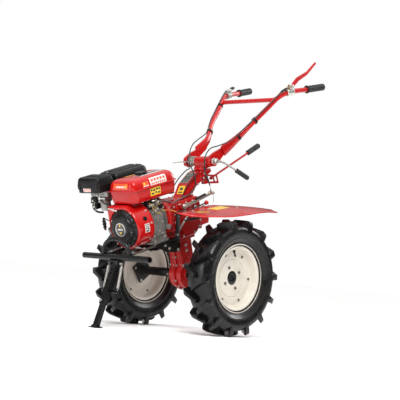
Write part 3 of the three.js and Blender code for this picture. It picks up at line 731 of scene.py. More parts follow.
rear = Shape().turned([(14, 0), (84, 0), (91, 3), (92, 5), (92, 10.5), (14, 10.5)], (148.4, 0, CRANK_Z),
                      (1, 0, 0), 72)
rear.piece("crankcase_rear_cover", alloy, "chassis", "cast_alloy", ["crankcase_cover"], round_edge=0.8)

barrel = Shape()
barrel.block(172, 252, -172, -76.5, -44, 44).block(170, 254, -182, -172, -43, 43)
for i in range(8):
    near = -84 - 11 * i
    barrel.plate(rounded([(160, -58), (264, -58), (264, 58), (160, 58)], 14), near - 3, near, "y")
barrel.moved(on_barrel).piece("cylinder_barrel", alloy, "chassis", "cast_alloy", ["cylinder"], round_edge=0.8)
head = Shape().plate(rounded([(176, -38), (248, -38), (248, 38), (176, 38)], 10), -200, -181, "y")
head.rod((212, -199, 0), (212, -204, 0), 22, 36).moved(on_barrel)
head.piece("valve_cover", alloy, "chassis", "cast_alloy", round_edge=3, steps=3)
studs = Shape()
for x in (182, 242):
    for z in (-30, 30):
        studs.bolt((x, -200, z), (0, -1, 0), 5)
studs.moved(on_barrel)
for x, z in ((180, 270), (244, 270), (178, 330), (246, 330), (186, 388), (238, 388)):
    studs.bolt((x, 79.4, z), (0, 1, 0), 4.5)
for x, z in ((196, 274), (226, 274), (211, 290)):
    studs.bolt((x, 84, z), (0, 1, 0), 4)
for x in (170, 248):
    for y in (-78, 78):
        studs.bolt((x, y, 243), (0, 0, 1), 6)
studs.bolt((176, 82, 252), (0.2, 1, 0), 8)
studs.piece("engine_bolts", zinc, "chassis", "zinc", round_edge=0.4)
boot = Shape()
boot.swept(eased([(292, -150, 372), (290, -176, 380), (272, -196, 396), (240, -200, 412)]), ring_of(7, 14))
boot.rod((300, -128, 362), (290, -160, 376), 10, 20)
black_plastic = Finish("moulded_black", {"Specular IOR Level": 0.2})
spark = black_plastic.noise(650, 2)
black_plastic.show({
    "Base Color": black_plastic.blend(black_plastic.ramp(black_plastic.noise(25, 4), 0.4, 0.8),
                                      (0.004, 0.004, 0.0045, 1), (0.010, 0.0095, 0.009, 1)),
    "Roughness": 0.26 + 0.16 * spark,
}).relief(spark, 0.00025, 0.4)
boot.piece("spark_plug_boot", black_plastic, "chassis", "black_plastic")
fly = Shape().turned([(0, 0), (30, 0), (30, 12), (12, 12), (12, 110), (84, 110), (84, 146), (70, 146),
                      (70, 120), (12, 120), (12, 168), (0, 168)], (176, 0, CRANK_Z), (1, 0, 0), 56)
for i in range(20):
    turn = tau * i / 20
    y, z = cos(turn), sin(turn)
    fly.swept([(298, 52 * y, CRANK_Z + 52 * z), (298, 82 * y, CRANK_Z + 82 * z)],
              [(-1.5, -2), (1.5, -2), (1.5, 22), (-1.5, 22)])
fly.piece("flywheel_fan", alloy, "crank_train", "cast_alloy", ["flywheel"], round_edge=0.5)

# Governor arm, link rods and stop-switch wires on the left of the crankcase, under the tank.
brass_wire = Finish("yellow_wire", {"Coat Weight": 0.3})
fade = brass_wire.ramp(brass_wire.noise(40, 3), 0.3, 0.7)
brass_wire.show({
    "Base Color": brass_wire.blend(fade, (0.62, 0.36, 0.04, 1), (0.42, 0.25, 0.06, 1)),
    "Roughness": 0.35 + 0.2 * fade,
}).relief(fade, 0.0002, 0.3)
wires = Shape()
for route in (
        [(236, 84, 434), (226, 88, 420), (214, 86, 404), (216, 88, 386), (206, 86, 372)],
        [(216, 60, 446), (202, 84, 438), (190, 90, 420), (180, 88, 396), (168, 86, 384), (150, 92, 382),
         (118, 104, 372), (99, 126, 354)],
        [(248, 70, 440), (240, 86, 428), (236, 88, 404), (226, 86, 392), (198, 88, 380), (186, 84, 366)]):
    wires.swept(eased(route, 8), ring_of(1.9, 8))
wires.piece("stop_wires", brass_wire, "chassis", "steel")
links = Shape()
links.plate(rounded([(196, 396), (206, 396), (214, 452), (200, 454)], 3), 84, 87, "y")
links.rod((205, 76, 402), (205, 92, 402), 6, 20).rod((207, 86, 446), (300, 20, 448), 1.8, 10)
links.plate(rounded([(170, 424), (252, 418), (252, 430), (170, 440)], 3), 74, 77, "y")
links.rod((178, 70, 430), (178, 92, 430), 8, 6).rod((240, 70, 426), (240, 90, 426), 7, 20)
links.rod((222, 72, 396), (222, 94, 396), 9, 6).rod((172, 76, 404), (172, 96, 404), 5, 16)
links.piece("governor_links", zinc, "chassis", "zinc", round_edge=0.6)
coil = Shape()
turns = [(180 + 56 * i / 160, 82 + 4 * cos(tau * i / 8), 410 + 4 * sin(tau * i / 8)) for i in range(161)]
coil.swept(turns, ring_of(0.9, 6))
coil.piece("governor_spring", steel, "chassis", "steel")
dark_block = Shape()
dark_block.plate(rounded([(168, 400), (200, 398), (204, 418), (168, 424)], 4), 70, 92, "y")
dark_block.plate(rounded([(216, 404), (262, 400), (262, 452), (214, 452)], 6), 52, 74, "y")
dark_block.piece("stop_switch", black_plastic, "chassis", "black_plastic", round_edge=2)

# ---- Fan cover ----------------------------------------------------------------------------------
# A deep-drawn steel cowl over the flywheel fan. It is round on the left and square at the upper
# right, where it feeds air to the cylinder. Its round mouth has a rolled edge. Gloss red enamel.
COWL_REAR = 266
COWL_FRONT = 372
COWL_R = 107

red = Finish("gloss_red", {"Coat Weight": 0.4, "Coat Roughness": 0.04, "Specular IOR Level": 0.22})
red_wave = red.noise(5, 3)
red_dust = red.ramp(red.noise(36, 6), 0.6, 0.8)
red.show({
    "Base Color": red.blend(red.ramp(red_wave, 0.3, 0.7), (0.37, 0.003, 0.003, 1), (0.46, 0.005, 0.005, 1)),
    "Roughness": 0.22 + 0.2 * red_dust,
}).relief(red_wave, 0.0006, 0.15)


def cowl(shrink, x):
    """The cowl's outline at one station, drawn in by a distance."""
    ring = []
    for i in range(96):
        turn = tau * i / 96
        square = (abs(sin(turn) / 114) ** 12 + abs(cos(turn) / 106) ** 12) ** (-1 / 12)
        rise = min(max((np.degrees(turn) - 62) / 22, 0), 1) * min(max((202 - np.degrees(turn)) / 20, 0), 1)
        r = COWL_R + (max(square, COWL_R) - COWL_R) * rise * rise * (3 - 2 * rise) - shrink
        ring.append((x, r * cos(turn), CRANK_Z + r * sin(turn)))
    return ring


def mouth(r, x):
    return [(x, y, CRANK_Z + z) for y, z in ring_of(r, 96)]


shell = Shape().loft([
    cowl(0, COWL_REAR), cowl(0, 340), cowl(0.5, 358), cowl(2.5, 366), cowl(6, 370.5), cowl(9, COWL_FRONT),
    mouth(99.5, COWL_FRONT), mouth(98, 371), mouth(97, 368), mouth(97, 362), mouth(99, 362), mouth(99.5, 367),
    cowl(10, 368.5), cowl(5, 364), cowl(2.5, 356), cowl(2, 340), cowl(2, COWL_REAR)], looped=True)
shell.loft([cowl(-2.5, COWL_REAR + 1), cowl(-2.5, COWL_REAR + 6), cowl(0.5, COWL_REAR + 6),
            cowl(0.5, COWL_REAR + 1)], looped=True)
shell.piece("cowl_shell", red, "chassis", "red_paint", ["fan_cover"], sharp=40)
trim = Shape()
for turn in (52, 118, 232, 300):
    y, z = cos(radians(turn)), sin(radians(turn))
    reach = 101 if turn != 118 else 112
    trim.bolt((COWL_FRONT - 1, reach * y, CRANK_Z + reach * z), (1, 0, 0), 3.4)
for x, y, z in ((280, 107.5, 350), (282, 78, 412), (282, 82, 268), (276, -40, 452.5), (276, -98, 438)):
    trim.bolt((x, y, z), (0, y, (z - CRANK_Z)), 5)
trim.plate(rounded([(-78, 432), (-30, 424), (-28, 430), (-72, 440)], 2), 373, 375, "x")
trim.rod((374, -76, 436), (384, -82, 438), 4, 16).rod((372, -52, 431), (378, -52, 431), 6, 6)
trim.piece("cowl_screws", zinc, "chassis", "zinc", round_edge=0.3)
plugs = Shape().rod((314, 105, 379), (314, 101.5, 379), 10, 32)
plugs.turned([(7, 0), (11, 0), (11.5, 1.2), (9, 2), (7, 1)], (314, 99.4, 379), (0, 1, 0.4), 32)
plugs.piece("cowl_grommet", black_plastic, "chassis", "black_plastic")


def label(made, skin, u0, u1, v0, v1, nu=10, nv=4, lift=0.35):
    """A thin printed film laid on a surface that is given as a function of two numbers."""
    rows = []
    for k in range(2):
        rows.append([])
        for j in range(nv + 1):
            for i in range(nu + 1):
                u, v = u0 + (u1 - u0) * i / nu, v0 + (v1 - v0) * j / nv
                at = Vector(skin(u, v))
                out = (Vector(skin(u + 0.5, v)) - at).cross(Vector(skin(u, v + 0.5)) - at).normalized()
                rows[k].append(at + out * (lift if k else 0.02))
    n = nu + 1
    low, top = rows
    grid = [(j * n + i, j * n + i + 1, (j + 1) * n + i + 1, (j + 1) * n + i)
            for j in range(nv) for i in range(nu)]
    edge = ([i for i in range(nu)] + [j * n + nu for j in range(nv)]
            + [nv * n + i for i in range(nu, 0, -1)] + [j * n for j in range(nv, 0, -1)])
    total = len(low)
    faces = [list(f) for f in grid] + [[total + i for i in reversed(f)] for f in grid]
    faces += [[a, edge[(i + 1) % len(edge)], total + edge[(i + 1) % len(edge)], total + a]
              for i, a in enumerate(edge)]
    return made.add(low + top, faces)


def print_finish(name, tone, worn):
    made = Finish(name, {"Coat Weight": 0.5, "Coat Roughness": 0.1})
    age = made.ramp(made.noise(60, 5), 0.4, 0.75)
    made.show({
        "Base Color": made.blend(age, (*tone, 1), (*worn, 1)),
        "Roughness": 0.3 + 0.15 * age,
    }).relief(age, 0.0001, 0.2)
    return made


yellow_print = print_finish("yellow_film", (0.80, 0.52, 0.01), (0.66, 0.43, 0.03))
white_print = print_finish("white_film", (0.74, 0.73, 0.70), (0.58, 0.56, 0.53))
orange_print = print_finish("orange_film", (0.72, 0.075, 0.010), (0.62, 0.055, 0.010))
ink = print_finish("dark_ink", (0.012, 0.011, 0.010), (0.05, 0.045, 0.04))


def cowl_side(u, v):
    turn = (v - CRANK_Z) / COWL_R
    return (COWL_REAR + u, COWL_R * cos(turn), CRANK_Z + COWL_R * sin(turn))


def cowl_side_back(u, v):
    return cowl_side(-u, v)


plate = Shape()
label(plate, cowl_side_back, -62, -30, 309, 353)
plate.piece("cowl_label", white_print, "chassis", "red_paint")
plate = Shape()
for u0, u1, v0, v1 in ((-60, -48, 346, 350), (-45, -33, 345, 350), (-58, -34, 337, 341), (-59, -50, 327, 333),
                       (-47, -34, 325, 332), (-57, -37, 313, 321)):
    label(plate, cowl_side_back, u0, u1, v0, v1, 3, 3, lift=0.6)
plate.piece("cowl_label_marks", ink, "chassis", "red_paint")

# ---- Recoil starter -----------------------------------------------------------------------------
# A pressed black housing over the starter pulley, with radial air slots round a flat hub that
# carries a printed badge. The rope leaves on the right and ends in a moulded hand grip.
STARTER_X = 356

bowl = Shape().turned([(0, 38), (36, 38), (38, 39.5), (60, 38), (66, 35.5), (71, 29), (72, 22), (76, 20),
                       (88, 18), (93, 14), (95.5, 11), (95.5, 2), (92, 2), (91, 10), (70, 16), (66, 30),
                       (0, 33)], (STARTER_X, 0, CRANK_Z), (1, 0, 0), 96)
for i in range(32):
    turn = tau * i / 32
    y, z = cos(turn), sin(turn)
    fin = [(STARTER_X + h, r * y, CRANK_Z + r * z) for r, h in ((43, 37.5), (58, 37.3), (66, 35), (72, 27),
                                                                (73, 21))]
    bowl.swept(eased(fin, 3), [(-1.7, -2), (1.7, -2), (1.1, 2.6), (-1.1, 2.6)])
for i in range(24):
    turn = tau * (i + 0.5) / 24
    y, z = cos(turn), sin(turn)
    fin = [(STARTER_X + 19, 76 * y, CRANK_Z + 76 * z), (STARTER_X + 16, 91 * y, CRANK_Z + 91 * z)]
    bowl.swept(fin, [(-3, -2), (3, -2), (2.4, 2.6), (-2.4, 2.6)])
bowl.piece("recoil_bowl", black, "chassis", "black_paint", ["recoil_starter"], round_edge=0.5, sharp=45)
ring = Shape().turned([(29, 38), (34.5, 38), (34.5, 40.4), (33, 41), (30.2, 41), (29, 40)],
                      (STARTER_X, 0, CRANK_Z), (1, 0, 0), 72)
ring.piece("badge_ring", zinc, "chassis", "zinc")
disc = Shape().turned([(0, 37), (29.6, 37), (29.6, 40.1), (0, 40.1)], (STARTER_X, 0, CRANK_Z), (1, 0, 0), 72)
disc.piece("badge_disc", ink, "chassis", "black_plastic")
marks = Shape()
marks.plate([(-5, 351), (4, 353), (3, 361), (-1, 367), (-6, 359)], 396, 396.6, "x")
marks.plate([(-11, 325), (9, 325), (0, 314)], 396, 396.6, "x")
marks.piece("badge_marks_yellow", yellow_print, "chassis", "black_plastic")
marks = Shape()
for y in (-17, -10, -3, 4, 11):
    marks.plate([(y, 335), (y + 4.6, 335), (y + 4.6, 343), (y, 343)], 396, 396.6, "x")
marks.piece("badge_marks_white", white_print, "chassis", "black_plastic")
screws = Shape()
for i in range(3):
    turn = radians(35 + 120 * i)
    screws.bolt((STARTER_X + 16, 85 * cos(turn), CRANK_Z + 85 * sin(turn)), (1, 0, 0), 4)
screws.piece("recoil_screws", zinc, "chassis", "zinc", round_edge=0.3)

grip = Shape().swept(eased([(352, -160, 380), (352, -160, 366), (352, -160, 350), (352, -160, 333),
                            (352, -160, 320)], 6),
                     lambda share: ring_of(9.5 - 4.5 * (2 * share - 0.9) ** 2 + 1.6 * cos(26 * share), 20))
grip.rod((352, -160, 372), (352, -160, 384), 5, 16)
grip.piece("starter_handle", black_plastic, "starter_pull", "black_plastic", ["starter_grip"])
cord = Finish("braided_cord", {"Specular IOR Level": 0.3})
plait = cord.noise(900, 2)
cord.show({"Base Color": cord.blend(plait, (0.01, 0.01, 0.01, 1), (0.05, 0.05, 0.05, 1)),
           "Roughness": 0.6 + 0.2 * plait}).relief(plait, 0.0006, 0.6)
rope = Shape().swept(eased([(352, -111, 368), (352, -130, 372), (352, -148, 379), (352, -160, 383),
                            (352, -160, 376)], 8), ring_of(2.4, 12))
rope.piece("starter_cord", cord, "starter_pull", "black_plastic")
guide = Shape().rod((352, -100, 368), (352, -114, 368), 8, 24)
guide.piece("cord_guide", black_plastic, "chassis", "black_plastic", round_edge=1)

# ---- Fuel tank ----------------------------------------------------------------------------------
# Two deep-drawn steel halves seam-welded at a pinched flange, with a filler neck and vented cap
# in the top. Gloss red outside, with printed films on its top, its front and its left side.
TANK = (44, 354, -96, 92)
tank_skin = [  # height, then how far the wall stands in from the widest outline
    (455, 15), (457, 9), (463, 5.5), (480, 3), (500, 1), (517.5, 0), (518.6, -7), (519.5, -8), (522, -8),
    (523, -7), (524, 0.5), (540, 2), (550, 4.5), (558, 8), (565, 13.5), (570, 20), (573.5, 28), (575.6, 40),
    (576.6, 58), (577, 80)]


def pad(x0, x1, y0, y1, radius, z, steps=8):
    """A level rectangle with round corners."""
    radius = max(min(radius, (x1 - x0) / 2.05, (y1 - y0) / 2.05), 0.5)
    return [(x, y, z) for cx, cy, first in (
        (x1 - radius, y1 - radius, 0), (x0 + radius, y1 - radius, 90),
        (x0 + radius, y0 + radius, 180), (x1 - radius, y0 + radius, 270))
        for x, y in arc(cx, cy, radius, first, first + 90, steps)]


def tank_ring(inset, z):
    x0, x1, y0, y1 = TANK
    return pad(x0 + inset, x1 - inset, y0 + inset, y1 - inset, max(34 - 0.6 * inset, 12), z)


Shape().loft([tank_ring(inset, z) for z, inset in tank_skin]).piece(
    "tank_shell", red, "chassis", "red_paint", ["fuel_tank"], sharp=55)
skin_z = [z for z, _ in tank_skin]
skin_in = [inset for _, inset in tank_skin]


def tank_front(y, z):
    return (TANK[1] - np.interp(z, skin_z, skin_in), y, z)


def tank_left(x, z):
    return (-x, TANK[3] - np.interp(z, skin_z, skin_in), z)


def tank_top(x, y):
    depth = min(x - TANK[0], TANK[1] - x, y - TANK[2], TANK[3] - y)
    return (x, y, np.interp(depth, skin_in[10:], skin_z[10:]))


film = label(Shape(), tank_front, -52, 50, 533, 560, 8, 8)
label(film, tank_left, -284, -243, 528, 553, 6, 6)
film.piece("tank_film_orange", orange_print, "chassis", "red_paint")
film = label(Shape(), tank_left, -232, -118, 526, 563, 12, 10)
for u0, u1 in ((-30, -22), (-19, -12), (-9, -2), (1, 7), (10, 17), (20, 27)):
    label(film, tank_front, u0, u1, 540, 548, 2, 3, lift=0.6)
for u0, u1 in ((-281, -273), (-270, -263), (-260, -252), (-250, -245)):
    label(film, tank_left, u0, u1, 529, 535, 2, 3, lift=0.6)
label(film, tank_top, 92, 246, -8, 46, 10, 6)
film.piece("tank_film_white", white_print, "chassis", "red_paint")
film = label(Shape(), tank_left, -240, -168, 474, 512, 8, 6)
label(film, tank_top, 152, 262, -72, -38, 8, 8)
label(film, tank_front, 34, 42, 539, 554, 3, 4, lift=0.6)
label(film, tank_left, -279, -268, 538, 549, 3, 4, lift=0.6)
film.piece("tank_film_yellow", yellow_print, "chassis", "red_paint")
film = Shape()
for i in range(6):
    label(film, tank_top, 98 + 25 * i, 117 + 25 * i, 3, 35, 3, 5, lift=0.7)
for u0, u1, v0, v1 in ((-236, -226, 497, 507), (-221, -206, 495, 505), (-200, -186, 498, 508),
                       (-182, -172, 496, 506), (-234, -214, 480, 489), (-206, -194, 482, 491),
                       (-188, -173, 479, 488)):
    label(film, tank_left, u0, u1, v0, v1, 3, 3, lift=0.6)
for u0, u1, v0, v1 in ((160, 182, -66, -60), (190, 216, -67, -61), (224, 252, -66, -60),
                       (166, 244, -55, -50)):
    label(film, tank_top, u0, u1, v0, v1, 4, 3, lift=0.6)
film.piece("tank_film_marks", ink, "chassis", "red_paint")
film = Shape()
for i in range(5):
    label(film, tank_left, -224 + 21 * i, -209 + 21 * i, 545, 557, 3, 5, lift=0.6)
for i in range(7):
    label(film, tank_left, -226 + 15 * i, -216 + 15 * i, 530, 538, 3, 4, lift=0.6)
film.piece("tank_film_red_marks", orange_print, "chassis", "red_paint")
cap = Shape().turned([(0, 0), (30, 0), (32, 2), (32, 9), (29, 13), (20, 14.5), (0, 15)], (200, 0, 577.4),
                     (0, 0, 1), 64)
for i in range(12):
    turn = tau * i / 12
    cap.rod((200 + 31.5 * cos(turn), 31.5 * sin(turn), 578.5), (200 + 30 * cos(turn), 30 * sin(turn), 589),
            2.4, 10)
cap.piece("cap_moulding", black_plastic, "tank_cap", "black_plastic", ["fuel_cap"], round_edge=0.8)
seat = Shape().turned([(22, 0), (32, 0), (30, 1.2), (22, 1.4)], (200, 0, 575.6), (0, 0, 1), 56)
seat.piece("filler_collar", zinc, "chassis", "zinc")
feet = Shape()
for x in (70, 326):
    for y in (-70, 64):
        feet.block(x - 12, x + 12, y - 10, y + 10, 449, 456)
feet.plate(rounded([(160, 446), (250, 446), (250, 450), (160, 450)], 1.5), 52, 72, "y")
feet.block(228, 246, 56, 72, 420, 450)
feet.piece("tank_brackets", black, "chassis", "black_paint", round_edge=1)

# ---- Air cleaner, carburettor and choke ---------------------------------------------------------
# A moulded black air-cleaner box stands on the die-cast carburettor behind the fan cover's far
# corner. The black box has a lid held by a wing nut. The choke lever works on the carburettor.
BOX = (286, 402, -268, -106)


def box_ring(inset, z, radius=14):
    return pad(BOX[0] + inset, BOX[1] - inset, BOX[2] + inset, BOX[3] - inset, radius, z, 6)


body = Shape().loft([box_ring(6, 520.2), box_ring(2, 523), box_ring(2, 546), box_ring(2, 552),
                     box_ring(-1, 552.6), box_ring(-1, 559), box_ring(0.5, 560), box_ring(1, 570),
                     box_ring(4, 585), box_ring(7, 593), box_ring(11, 597.3), box_ring(16, 598)])
body.piece("cleaner_box", black_plastic, "chassis", "black_plastic", ["air_cleaner"], round_edge=0.8,
           sharp=50)
trim = Shape()
for y in (-236, -208, -166, -138):
    trim.plate(rounded([(316, y), (374, y), (374, y + 10), (316, y + 10)], 4), 597.6, 600.4, "z")
trim.loft([pad(330, 358, -201, -173, 13, 597), pad(330, 358, -201, -173, 13, 601),
           pad(334, 354, -197, -177, 9, 602.5)])
for y in (-250, -124):
    trim.block(398, 404, y - 9, y + 9, 541, 566)
trim.piece("cleaner_lid_ribs", black_plastic, "chassis", "black_plastic", round_edge=1)
spacer = Shape()
for i in range(5):
    grow = i % 2
    spacer.loft([pad(312 - grow, 358 + grow, -226, -104, 10, 494 + 5.1 * i),
                 pad(312 - grow, 358 + grow, -226, -104, 10, 499 + 5.1 * i)])
spacer.piece("cleaner_elbow", alloy, "chassis", "cast_alloy", round_edge=0.6)
front_of_box = lambda y, z: (BOX[1] - 1.5, y, z)
label(Shape(), front_of_box, -222, -168, 528, 545, 6, 3, lift=0.5).piece(
    "cleaner_label", white_print, "chassis", "black_plastic")
marks = Shape()
for y in (-219, -208, -197, -186, -176):
    label(marks, front_of_box, y, y + 7, 531, 537, 2, 2, lift=0.8)
label(marks, front_of_box, -218, -172, 540, 543, 4, 2, lift=0.8)
marks.piece("cleaner_label_marks", orange_print, "chassis", "black_plastic")
carb = Shape().loft([pad(300, 360, -176, -126, 8, 464), pad(300, 360, -176, -126, 8, 508)])
carb.turned([(0, 0), (24, 0), (27, 4), (27, 38), (29, 40), (29, 43), (0, 43)], (330, -151, 422), (0, 0, 1),
            40)
carb.turned([(0, 0), (30, 0), (30, 11), (0, 11)], (330, -151, 508), (0, 0, 1), 40)
carb.rod((330, -151, 415), (330, -151, 424), 6, 6).rod((300, -170, 486), (276, -170, 486), 16, 24)
carb.rod((356, -140, 474), (368, -140, 474), 5, 16).rod((340, -172, 490), (340, -186, 490), 8, 20)
carb.piece("carburettor_body", alloy, "chassis", "cast_alloy", ["carburettor"], round_edge=1.4)
extras = Shape()
extras.loft([pad(304, 372, -222, -170, 12, 462), pad(308, 370, -218, -174, 12, 492)])
extras.swept(eased([(340, -186, 480), (362, -204, 462), (366, -206, 436), (352, -196, 414),
                    (336, -170, 408)]), ring_of(5, 14))
extras.swept(eased([(346, -120, 452), (366, -118, 460), (372, -132, 476), (362, -148, 484)]), ring_of(3, 12))
extras.block(318, 366, -212, -184, 430, 456)
extras.piece("fuel_tap_and_hoses", black_plastic, "chassis", "black_plastic", round_edge=1)
screws = Shape()
for x, y, z in ((361, -169, 502), (361, -134, 468), (361, -160, 470)):
    screws.bolt((x, y, z), (1, 0, 0), 4)
screws.bolt((373, -196, 476), (1, 0, 0), 5).bolt((367, -200, 444), (1, 0, 0), 5)
screws.swept(eased([(364, -180, 478), (372, -190, 462), (368, -196, 440), (366, -190, 424)]),
             ring_of(1.8, 10))
screws.piece("carburettor_screws", zinc, "chassis", "zinc", round_edge=0.3)
lever = Shape().rod((361.8, -151, 487), (368, -151, 487), 8, 24)
lever.plate(rounded([(-158, 483), (-114, 484), (-110, 487), (-114, 490), (-158, 491)], 2.5), 363, 366.5, "x")
lever.piece("choke_lever_arm", zinc, "choke", "zinc", ["choke_lever"], round_edge=0.5)

# ---- Muffler and guard --------------------------------------------------------------------------
# A sheet-steel silencer on the right of the cylinder, inside a pressed black guard with rows of
# louvres. Its rear end is well rounded. Heat-resisting satin black.
GUARD = (34, 272, -248, -108)


def guard_ring(inset, z):
    outline = []
    x0, x1, y0, y1 = GUARD[0] + inset, GUARD[1] - inset, GUARD[2] + inset, GUARD[3] - inset
    for cx, cy, r, first in ((x1 - 12, y1 - 12, 12, 0), (x0 + 34, y1 - 34, 34, 90),
                             (x0 + 34, y0 + 34, 34, 180), (x1 - 12, y0 + 12, 12, 270)):
        outline += [(x, y, z) for x, y in arc(cx, cy, r, first, first + 90, 8)]
    return outline


guard = Shape().loft([
    guard_ring(0, 500), guard_ring(0, 566), guard_ring(1.5, 580), guard_ring(6, 590), guard_ring(13, 596),
    guard_ring(22, 598), guard_ring(22, 595.5), guard_ring(14, 594), guard_ring(8, 588), guard_ring(4, 580),
    guard_ring(2.5, 566), guard_ring(2.5, 500)])
guard.piece("guard_shell", black, "chassis", "black_paint", ["muffler_guard"], sharp=50)
fins = Shape()
for i in range(13):
    x = 64 + 14.6 * i
    for y0, y1 in ((-224, -184), (-174, -134)):
        fins.swept([(x, y0, 598.3), (x, y1, 598.3)], [(-2, -4.2), (1, -4.2), (4.4, 3.6), (3, 4.4)])
for i in range(11):
    x = 74 + 16.5 * i
    fins.block(x, x + 8, -110, -104.5, 524, 572, 0.8).block(x, x + 8, -251, -246, 524, 572, 0.8)
fins.piece("guard_louvres", black, "chassis", "black_paint", round_edge=0.6)
screws = Shape()
for x, y in ((52, -178), (262, -178)):
    screws.bolt((x, y, 597.5), (0, 0, 1), 5)
for x in (60, 250):
    screws.bolt((x, -107.5, 512), (0, 1, 0), 5)
screws.piece("guard_screws", zinc, "chassis", "zinc", round_edge=0.3)

# ---- Engine frame -------------------------------------------------------------------------------
# Two folded steel rails carry the engine forward from the drive case. Tubes braced off the rails
# hold the fenders. It is all welded and stove black; a bright steel strip along each rail's top edge is a
# painted highlight.
RAIL_Y = 90
rail = [(70, 226), (70, 150), (110, 150), (176, 170), (240, 212), (436, 212), (436, 226)]

frame_side = Shape().plate(rounded(rail, 10), RAIL_Y - 24, RAIL_Y - 18, "y")
frame_side.plate(rounded([(70, RAIL_Y - 24), (436, RAIL_Y - 24), (436, RAIL_Y + 2), (70, RAIL_Y + 2)], 4),
                 221, 227, "z")
post = rounded([(-13, -4.5), (13, -4.5), (13, 4.5), (-13, 4.5)], 2, 3)
frame_side.swept([(98, 88, 205), (102, 92, 232), (106, 120, 330), (118, 138, 366)],
                 [(v, u) for u, v in post][::-1])
frame_side.swept(eased([(104, 136, 346), (60, 158, 342), (0, 180, 334), (-60, 196, 328)], 5),
                 ring_of(6.5, 16))
frame_side.plate(rounded([(84, 130), (150, 190), (132, 216), (70, 150)], 6), 362, 366, "z")
frame_side.both()
frame_side.block(70, 76, -70, 70, 150, 200).block(80, 130, -70, 70, 212, 218)
frame_side.block(300, 340, -70, 70, 212, 218)
frame_side.piece("frame_weldment", black, "chassis", "black_paint", ["engine_frame"], round_edge=1)
# The steel strip on each rail's top edge is a painted highlight on the black rail, not bare worn metal; the
# rods added after it are steel.
worn = Shape().block(262, 434, 84, RAIL_Y + 2.6, 221.5, 228.2).both()
worn.swept([(10, 95, 318), (91, 95, 257)], ring_of(5.5, 14)).rod((6, 84, 320), (6, 100, 320), 8, 20)
worn.swept(eased([(-2, 110, 326), (-4, 112, 306), (-16, 112, 296), (-34, 112, 300), (-42, 110, 312)]),
           ring_of(3, 10))
worn.piece("frame_rail_highlight_and_rods", steel, "chassis", "steel", round_edge=1)
bolts = Shape()
for x, z in ((90, 160), (90, 206), (150, 182), (176, 204)):
    bolts.bolt((x, RAIL_Y - 18, z), (0, 1, 0), 7)
for x in (96, 250, 330, 410):
    bolts.bolt((x, 78, 227), (0, 0, 1), 7)
bolts.bolt((104, 100, 244), (0, 1, 0), 6).bolt((110, 128, 344), (0, 1, 0), 5)
bolts.both().piece("frame_bolts", zinc, "chassis", "zinc", round_edge=0.4)

# ---- Bumper and guard arch ----------------------------------------------------------------------
# An open-ended cross tube is welded to the front of the rails. A bent tube arches over it to
# guard the recoil starter, and a pair of cheeks below carries the prop stand.
BAR_Y = 235
archway = [(444 - 2 * sin(a), 92 * cos(a), 231 + 72 * sin(a)) for a in (pi * i / 28 for i in range(29))]

bar = Shape().turned([(12.5, 0), (13.2, -0.6), (14.4, -0.6), (15, 0), (15, 2 * BAR_Y),
                      (14.4, 2 * BAR_Y + 0.6), (13.2, 2 * BAR_Y + 0.6), (12.5, 2 * BAR_Y),
                      (12.5, 2 * BAR_Y - 60), (0, 2 * BAR_Y - 61), (0, 61), (12.5, 60)],
                     (452, -BAR_Y, 213), (0, 1, 0), 36)
for y in (-26, 20):
    bar.plate(rounded([(436, 202), (436, 172), (446, 166), (470, 166), (478, 174), (478, 202)], 6), y,
              y + 6, "y")
bar.block(432, 478, -34, 34, 196, 203)
bar.piece("bumper_weldment", black, "chassis", "black_paint", ["bumper"], round_edge=0.8)
hoop = Shape().swept(archway, ring_of(11, 24))
for y in (-92, 92):
    hoop.plate(rounded([(428, y - 14), (462, y - 14), (462, y + 14), (428, y + 14)], 5), 226.6, 230.4, "z")
hoop.piece("guard_hoop_tube", black, "chassis", "black_paint", ["guard_arch"], round_edge=0.6)
pivot = Shape().rod((457, -33, 184), (457, 33, 184), 5, 20).bolt((457, 33, 184), (0, 1, 0), 8).bolt(
    (457, -33, 184), (0, -1, 0), 8)
pivot.piece("stand_pivot_bolt", zinc, "chassis", "zinc", round_edge=0.4)

# ---- Prop stand ---------------------------------------------------------------------------------
# A punched square tube swings on the cheeks, and a thinner punched tube slides inside it to set
# the height. Two coil springs from the bumper snap it up or down. The foot is a small flat plate.
STAND_PIVOT = Vector((457, 0, 184))
FOOT_X = 656
STAND_FOOT = Vector((FOOT_X, 0, (FOOT_X * sin(LEAN) - TYRE_R * cos(radians(1.95))) / cos(LEAN)))
down = (STAND_FOOT - STAND_PIVOT).normalized()
along_leg = Matrix.Translation(STAND_PIVOT) @ Matrix(
    ((down.z, 0, down.x), (0, 1, 0), (-down.x, 0, down.z))).to_4x4()
leg_length = (STAND_FOOT - STAND_PIVOT).length


def punched_tube(start, end, half, wall, hole, first_hole):
    """A square tube along Z with a row of round holes in its front and its back."""
    made = Shape()
    holes = []
    place = first_hole
    while place < end - 10:
        holes.append([(y, place + z) for y, z in ring_of(hole, 14)])
        place += 20
    face = [(-half, start), (half, start), (half, end), (-half, end)]
    for x in (-half, half - wall):
        made.plate(face, x, x + wall, "x", holes=holes)
    for y in (-half, half - wall):
        made.block(-half + wall, half - wall, y, y + wall, start, end)
    return made


